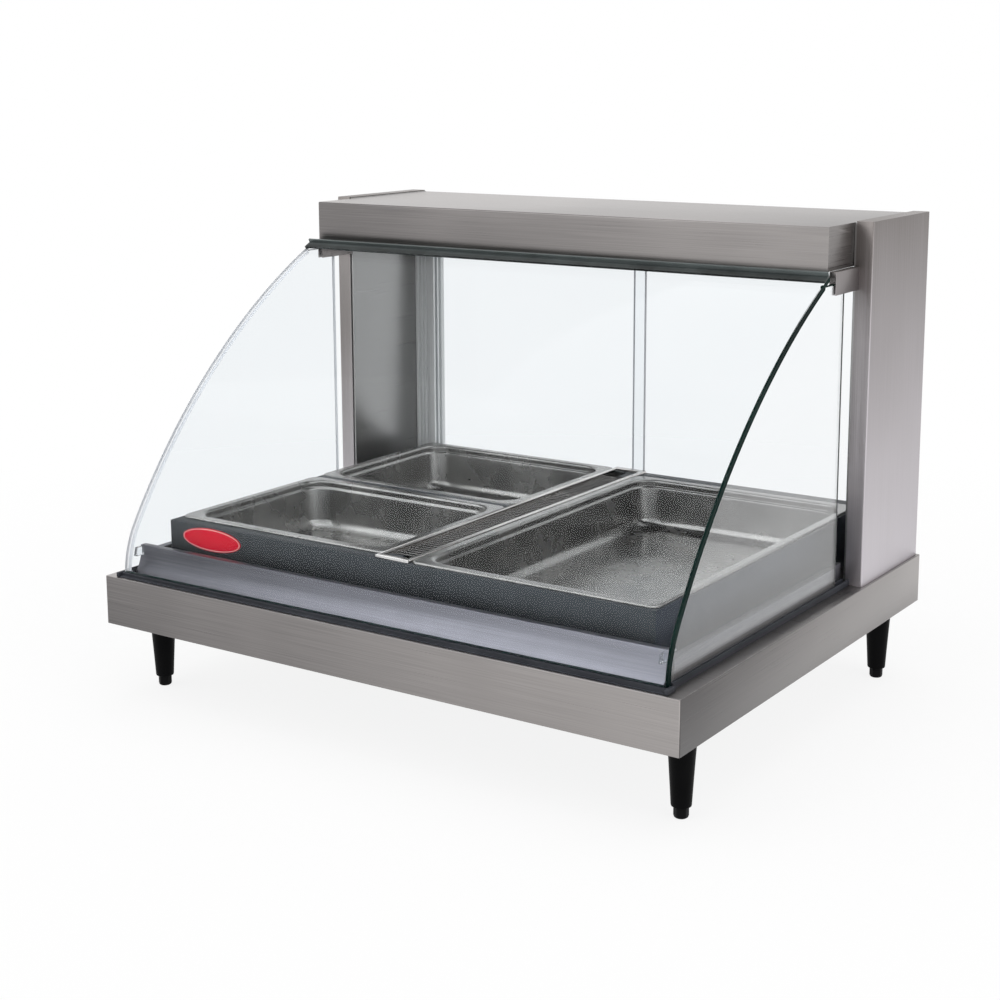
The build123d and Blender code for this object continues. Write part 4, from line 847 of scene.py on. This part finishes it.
for node in ("foot_front_left", "foot_front_right", "foot_rear_left", "foot_rear_right"):
    low, high = (np.array(corner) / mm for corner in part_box(node))
    x, y = (low[:2] + high[:2]) / 2
    profile = [(0, 6.6), (1.0, 7.8), (2.6, 8.4), (3.2, 8.5), (10.6, 8.5), (11.2, 8.4), (12.0, 8.0),
               (12.7, 7.0), (12.71, 6.0), (high[2] - 0.5, 6.0), (high[2], 5.5)]
    foot = joined_turns(node + "_turned", [turned_points(profile, (x, y, 0), sides=48, shape=hexagon)], 25.0)
    settled(foot, node, finish=foot_metal)

# %% [markdown]
# The grid between the pans is round wire: many short cross wires welded on two long ones. Each weld
# sinks the wires a little into each other. All cross wires are one array: the same ring of points,
# repeated at every place at once.

# %% Wire grid
low, high = (np.array(corner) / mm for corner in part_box("wire_grid"))
wire_radius, long_radius, wire_pitch, wire_inset = 1.0, 1.25, 8.0, 2.0
cross_z = high[2] - wire_radius
cross_half = high[0]
cross_length = 2 * cross_half
long_length = high[1] - low[1]
wire_count = int((long_length - 2 * wire_inset) / wire_pitch) + 1
wire_y = low[1] + wire_inset + wire_pitch * np.arange(wire_count)
wire_profile = [(0, 0.55), (0.3, 0.9), (0.8, wire_radius), (cross_length - 0.8, wire_radius),
                (cross_length - 0.3, 0.9), (cross_length, 0.55)]
wires = [turned_points(wire_profile, (-cross_half, y, cross_z), "X", 12) for y in wire_y]
long_profile = [(0, 0.8), (0.5, long_radius), (long_length - 0.5, long_radius), (long_length, 0.8)]
long_z = low[2] + long_radius
grid_points = np.array([v.co for v in nodes["wire_grid"].data.vertices]) / mm
long_x = grid_points[grid_points[:, 2] < long_z, 0].max() - long_radius
wires += [turned_points(long_profile, (side * long_x, low[1], long_z), "Y", 12) for side in (-1, 1)]
settled(joined_turns("wire_grid_drawn", wires, 60.0), "wire_grid", finish=wire_steel)
print("cross wires:", len(wire_y), "long wires at x =", round(float(long_x), 2))

# %% [markdown]
# The badge is a small oval plate, bare here. Its face swells a little, so it takes a soft highlight,
# and a pale line runs just inside its edge. Each outline is an ellipse whose two half sizes are drawn
# in by the same amount, and it is lifted off the plate's back toward the customer.

# %% Badge
low, high = (np.array(corner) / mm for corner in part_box("badge_plate"))
badge_centre = np.array([(low[0] + high[0]) / 2, (low[2] + high[2]) / 2])
badge_half = np.array([(high[0] - low[0]) / 2, (high[2] - low[2]) / 2])


def swelling(name, insets, lifts, finish, hollow=False, sides=96):
    """Ellipses: the half sizes less the inset, times (cos, sin). A hollow one closes on its own start."""
    angle = np.linspace(0, 2 * math.pi, sides, endpoint=False)[None, :, None]
    half = badge_half[None, None, :] - np.array(insets, float)[:, None, None]
    flat = half * np.concatenate([np.cos(angle), np.sin(angle)], -1) + badge_centre
    depth = np.broadcast_to((high[1] - np.array(lifts))[:, None, None], (*flat.shape[:2], 1))
    points = np.concatenate([flat[..., :1], depth, flat[..., 1:]], -1) * mm
    faces = net(*flat.shape[:2], wrap_rows=True) if hollow else capped(*flat.shape[:2])
    piece = closed_piece(name, points, faces, 50.0)
    piece.data.materials.append(finish)
    return piece


face_insets, face_lifts = [0, 0, 0.2, 1.0, 2.6, 5.0, 8.0], [0, 0.6, 0.78, 0.88, 1.0, 1.1, 1.15]
line_insets, line_lifts = [1.2, 1.2, 1.3, 1.6, 1.7, 1.7], [0.7, 1.02, 1.08, 1.1, 1.06, 0.7]
settled(swelling("badge_plate_swelled", face_insets, face_lifts, badge_red), "badge_plate")
badge_line = swelling("badge_line", line_insets, line_lifts, badge_edge, True)
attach(badge_line, "case")
print("badge:", [round(float(s)) for s in 2 * badge_half])

# %% [markdown]
# At the operator's side two knobs and two rockers sit in a recess. A knob is a ribbed cap on a
# skirt with a raised grip, and a white line shows where it points. Round it on the panel run plain
# tick marks, which belong to the panel and stay when the knob turns.

# %% Knobs
def ribs(angle, row):
    """Shallow ribs on the cap's flank only: a small cosine of 24 times the angle."""
    return 1.0 + np.where((row > 4) & (row < 8), 0.022 * np.cos(24 * angle), 0.0)


panel_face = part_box("rocker_frames")[1].y / mm - 2.0
back = panel_face + 0.3
pointer_level = back + 18.6
for node in ("base_heat_knob", "top_heat_knob"):
    low, high = (np.array(corner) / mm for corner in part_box(node))
    x, z = (low[0] + high[0]) / 2, (low[2] + high[2]) / 2
    profile = [(0, 16.8), (0.4, 17.7), (3.2, 17.9), (4.0, 17.2), (4.6, 14.6), (5.4, 14.3), (14.6, 13.6),
               (15.8, 13.1), (16.8, 11.6), (17.0, 9.0)]
    cap = turned_points(profile, (x, back, z), "Y", 96, ribs)
    stem = turned_points([(0, 3.0), (15.0, 3.0)], (x, low[1], z), "Y", 24)
    steps = np.array([(4.2, 0.0), (17.6, 0.0), (18.6, 0.5), (19.0, 1.4)])
    rings = np.stack([rounded_loop(7.4 - 2 * s, 29.0 - 2 * s, max(3.0 - s, 0.8), 6) for _, s in steps])
    depth = np.broadcast_to(steps[:, 0][:, None, None] + back, (*rings.shape[:2], 1))
    grip = np.concatenate([rings[..., :1] + x, depth, rings[..., 1:] + z], -1)
    settled(joined_turns(node + "_ribbed", [cap, stem, grip], 40.0), node, finish=moulded_black)
    pointer = plate(node + "_pointer", rounded_loop(1.6, 9.0, 0.7, 3) + np.array([x, z + 8.6]),
                    pointer_level, pointer_level + 0.4, 0.1, "Y")
    pointer.data.materials.append(mark_white)
    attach(pointer, nodes[node]["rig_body"])
print("knob pointers at y =", round(float(pointer_level), 1))

# %% Dial marks
def tick_loops(x, z, count=10, near=19.6, far=22.4, half_width=0.35, sweep=270.0):
    """Corner points of small bars set round a centre, each between a near and a far radius."""
    angle = np.radians(90 - np.linspace(0, sweep, count))
    outward = np.stack([np.cos(angle), np.sin(angle)], -1)
    across = np.stack([-outward[:, 1], outward[:, 0]], -1) * half_width
    ends = [outward * near - across, outward * near + across, outward * far + across, outward * far - across]
    return np.stack(ends, 1) + np.array([x, z])


mark_levels = (panel_face + 0.02, panel_face + 0.14)
mark_points, mark_faces = [], []
for node in ("base_heat_knob", "top_heat_knob"):
    low, high = (np.array(corner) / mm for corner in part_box(node))
    for loop in tick_loops((low[0] + high[0]) / 2, (low[2] + high[2]) / 2):
        base = len(mark_points)
        for y in mark_levels:
            mark_points += [(px, y, pz) for px, pz in loop]
        mark_faces += [[base + i for i in f] for f in capped(2, 4)]
dial_marks = closed_piece("dial_marks", np.array(mark_points) * mm, mark_faces)
dial_marks.data.materials.append(mark_white)
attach(dial_marks, "case")
print("dial marks:", len(mark_faces), "faces")

# %% [markdown]
# A rocker's cap is hollowed along its length, so that a finger finds either end, and each end has
# its mark: a bar for on and a ring for off. The cap's face is two flats that meet in a shallow
# valley, so a mark's points are laid out flat first and then lifted to the face: its height off the
# pin is 2 mm in the valley and grows by 1.4 mm towards either end.

# %% Rockers
def on_rocker(loops, x, pin_y, pin_z, face=2.0, growth=1.4 / 9.5, tilt=8.0):
    """Loops of (across, up) points laid on a rocker's face and turned about its pin by the rest tilt."""
    across, up, lift = loops[..., 0], loops[..., 1], loops[..., 2]
    off = face + growth * np.abs(up) + lift
    c, s = math.cos(math.radians(tilt)), math.sin(math.radians(tilt))
    return np.stack([across + x, pin_y + off * c - up * s, pin_z + off * s + up * c], -1) * mm


def layered(loop, lifts):
    """One flat loop repeated at several lifts off the face."""
    return np.stack([np.concatenate([loop, np.full((len(loop), 1), lift)], 1) for lift in lifts])


frame_low, frame_high = (np.array(corner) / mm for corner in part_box("rocker_frames"))
mark_root, mark_rise, mark_reach = -0.1, 0.06, 5.0
ring_outer, ring_inner = 1.8, 1.2
for node in ("power_rocker", "lamp_rocker"):
    eased(node, moulded_black, 0.5, 3)
    low, high = (np.array(corner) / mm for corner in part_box(node))
    pin = ((low[0] + high[0]) / 2, panel_face - 2.0, (frame_low[2] + frame_high[2]) / 2)
    bar = layered(rounded_loop(0.8, 3.6, 0.3, 2) + np.array([0.0, mark_reach]), [mark_root, mark_rise])
    angle = np.linspace(0, 2 * math.pi, 32, endpoint=False)
    circle = np.stack([np.cos(angle), np.sin(angle)], -1)
    centre = np.array([0.0, -mark_reach])
    outer = layered(ring_outer * circle + centre, [mark_root, mark_rise])
    inner = layered(ring_inner * circle + centre, [mark_rise, mark_root])
    ring = np.concatenate([outer, inner])
    points = np.concatenate([on_rocker(grid, *pin).reshape(-1, 3) for grid in (bar, ring)])
    first_of_ring = bar.shape[0] * bar.shape[1]
    faces = capped(*bar.shape[:2]) + (net(*ring.shape[:2], wrap_rows=True) + first_of_ring).tolist()
    marks = closed_piece(node + "_marks", points, faces)
    marks.data.materials.append(mark_white)
    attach(marks, nodes[node]["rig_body"])
    print(node, "marks:", len(faces), "faces")

# %% [markdown]
# Pan-head screws show a low dome with a crossed recess. The dome is a quarter of an ellipse, and
# the cross is sunk where either coordinate across the head is small and the radius is small too.

# %% Screws
def screw_head(centre, outward, radius=3.6, height=1.8, half_slot=0.42, slot_reach=0.55):
    """Rings of a dome: its height times the root of 1 less the radius squared. Inside the cross, it stands
    at about a third of its height."""
    share = np.array([1.0, 1.0, 0.98, 0.9, 0.75, 0.6, 0.52, 0.44, 0.3, 0.12])[:, None]
    angle = np.linspace(0, 2 * math.pi, 48, endpoint=False)[None, :]
    u, v = share * radius * np.cos(angle), share * radius * np.sin(angle)
    dome = height * np.sqrt(1 - (share * 0.98) ** 2) * 0.999
    dome = np.broadcast_to(dome, u.shape).copy()
    dome[0] = 0.0
    crossed = (np.minimum(np.abs(u), np.abs(v)) < half_slot) & (share < slot_reach)
    dome = np.where(crossed, height * 0.35, dome)
    if outward == "down":
        return np.stack([centre[0] + u, centre[1] - v, centre[2] - dome], -1)
    return np.stack([centre[0] - u, centre[1] + dome, centre[2] + v], -1)


cover_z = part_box("bottom_cover")[0].z / mm
canopy_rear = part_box("canopy_shell")[1].y / mm
cover = [np.array(corner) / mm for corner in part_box("bottom_cover")]
screw_inset, recess_depth, rear_drop = 22.0, 26.0, 20.0
cover_columns, rear_columns = (-300, 0, 300), (-280, 0, 280)
cover_rows = (cover[0][1] + screw_inset, cover[1][1] - screw_inset - recess_depth)
canopy_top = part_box("canopy_shell")[1].z / mm
heads = [screw_head((x, y, cover_z), "down") for x in cover_columns for y in cover_rows]
heads += [screw_head((x, canopy_rear, canopy_top - rear_drop), "back") for x in rear_columns]
settled(joined_turns("screw_heads", heads, 30.0), "screws", finish=screw_steel)
print("screw heads:", len(heads))

# %% [markdown]
# The display lamps are frosted bulbs lying along the canopy: a round nose, a straight body and a
# narrow neck that enters the socket.

# %% Lamps
low, high = (np.array(corner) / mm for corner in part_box("display_lamps"))
lamp_y, lamp_z = (low[1] + high[1]) / 2, (low[2] + high[2]) / 2
lamp_inner, lamp_far, bulb_radius = 80.0, high[0], 14
nose = np.linspace(0, math.pi / 2, 9)
bulb = [(bulb_radius - bulb_radius * math.cos(a), max(bulb_radius * math.sin(a), 0.4)) for a in nose]
bulb += [(60, bulb_radius), (80, 13.4), (88, 12.0), (92, 11.2), (lamp_far - lamp_inner, 11.0)]
bulbs = []
for side in (-1, 1):
    grid = turned_points(bulb, (lamp_inner, lamp_y, lamp_z), "X", 40)
    grid[..., 0] *= side
    bulbs.append(grid)
settled(joined_turns("display_lamps_blown", bulbs, 40.0), "display_lamps", finish=lamp_frost)
print("lamps:", len(bulbs), "from x =", lamp_inner, "to", round(float(lamp_far), 1))

# %% [markdown]
# The case stands on a plain pale floor under soft studio light: a broad lamp from the upper left, a
# weaker one from the right and one above. The world is plain too. What the camera, a mirror or a
# pane sees behind the case is white, while the light that the world gives stays at its plain level,
# and the floor keeps a faint shadow.

# %% Floor, world and lamps
def sees_backdrop(tree):
    """1 for rays that look at the backdrop straight, in a mirror or through glass, else 0."""
    path = add(tree, "ShaderNodeLightPath")
    first = sums(tree, "MAXIMUM", path.outputs["Is Camera Ray"], path.outputs["Is Glossy Ray"])
    return sums(tree, "MAXIMUM", first, path.outputs["Is Transmission Ray"])


floor_mesh = bpy.data.meshes.new("floor")
floor_mesh.from_pydata([(-9, -9, 0), (9, -9, 0), (9, 9, 0), (-9, 9, 0)], [], [(0, 1, 2, 3)])
floor = bpy.data.objects.new("floor", floor_mesh)
bpy.context.scene.collection.objects.link(floor)
floor_finish, tree, shader = material("floor", {"Base Color": (0.9, 0.9, 0.9, 1.0), "Roughness": 0.9})
glow = add(tree, "ShaderNodeEmission", {"Color": (1.0, 1.0, 1.0, 1.0), "Strength": 1.0})
away = add(tree, "ShaderNodeVectorMath", {0: object_point(tree)}, operation="LENGTH").outputs["Value"]
share = sums(tree, "MULTIPLY", sees_backdrop(tree), spread(tree, away, 0.5, 1.6, 0.85, 1.0))
blend = add(tree, "ShaderNodeMixShader", {0: share, 1: shader.outputs[0], 2: glow.outputs[0]})
tree.links.new(blend.outputs[0], tree.nodes["Material Output"].inputs["Surface"])
floor_mesh.materials.append(floor_finish)

world = bpy.data.worlds.new("studio")
world.use_nodes = True
bpy.context.scene.world = world
sky = world.node_tree
background = sky.nodes["Background"]
background.inputs["Color"].default_value = (1.0, 1.0, 1.0, 1.0)
level = add(sky, "ShaderNodeMapRange", {"Value": sees_backdrop(sky), "To Min": 0.55, "To Max": 1.0})
sky.links.new(level.outputs["Result"], background.inputs["Strength"])


def lamp(name, place, aim, size, power):
    """A square area lamp at a place, turned to face a point."""
    light = bpy.data.lights.new(name, "AREA")
    light.shape = "SQUARE"
    light.size = size
    light.energy = power
    made = bpy.data.objects.new(name, light)
    made.location = place
    made.rotation_euler = (Vector(aim) - Vector(place)).to_track_quat("-Z", "Y").to_euler()
    bpy.context.scene.collection.objects.link(made)
    return made


case_middle = (0.0, 0.0, 0.3)
lamp("key_lamp", (-2.6, -3.2, 3.2), case_middle, 5.0, 78.5)
lamp("side_lamp", (4.2, -1.2, 2.6), case_middle, 4.0, 50.3)
lamp("top_lamp", (0.2, 0.6, 4.4), case_middle, 5.0, 78.5)
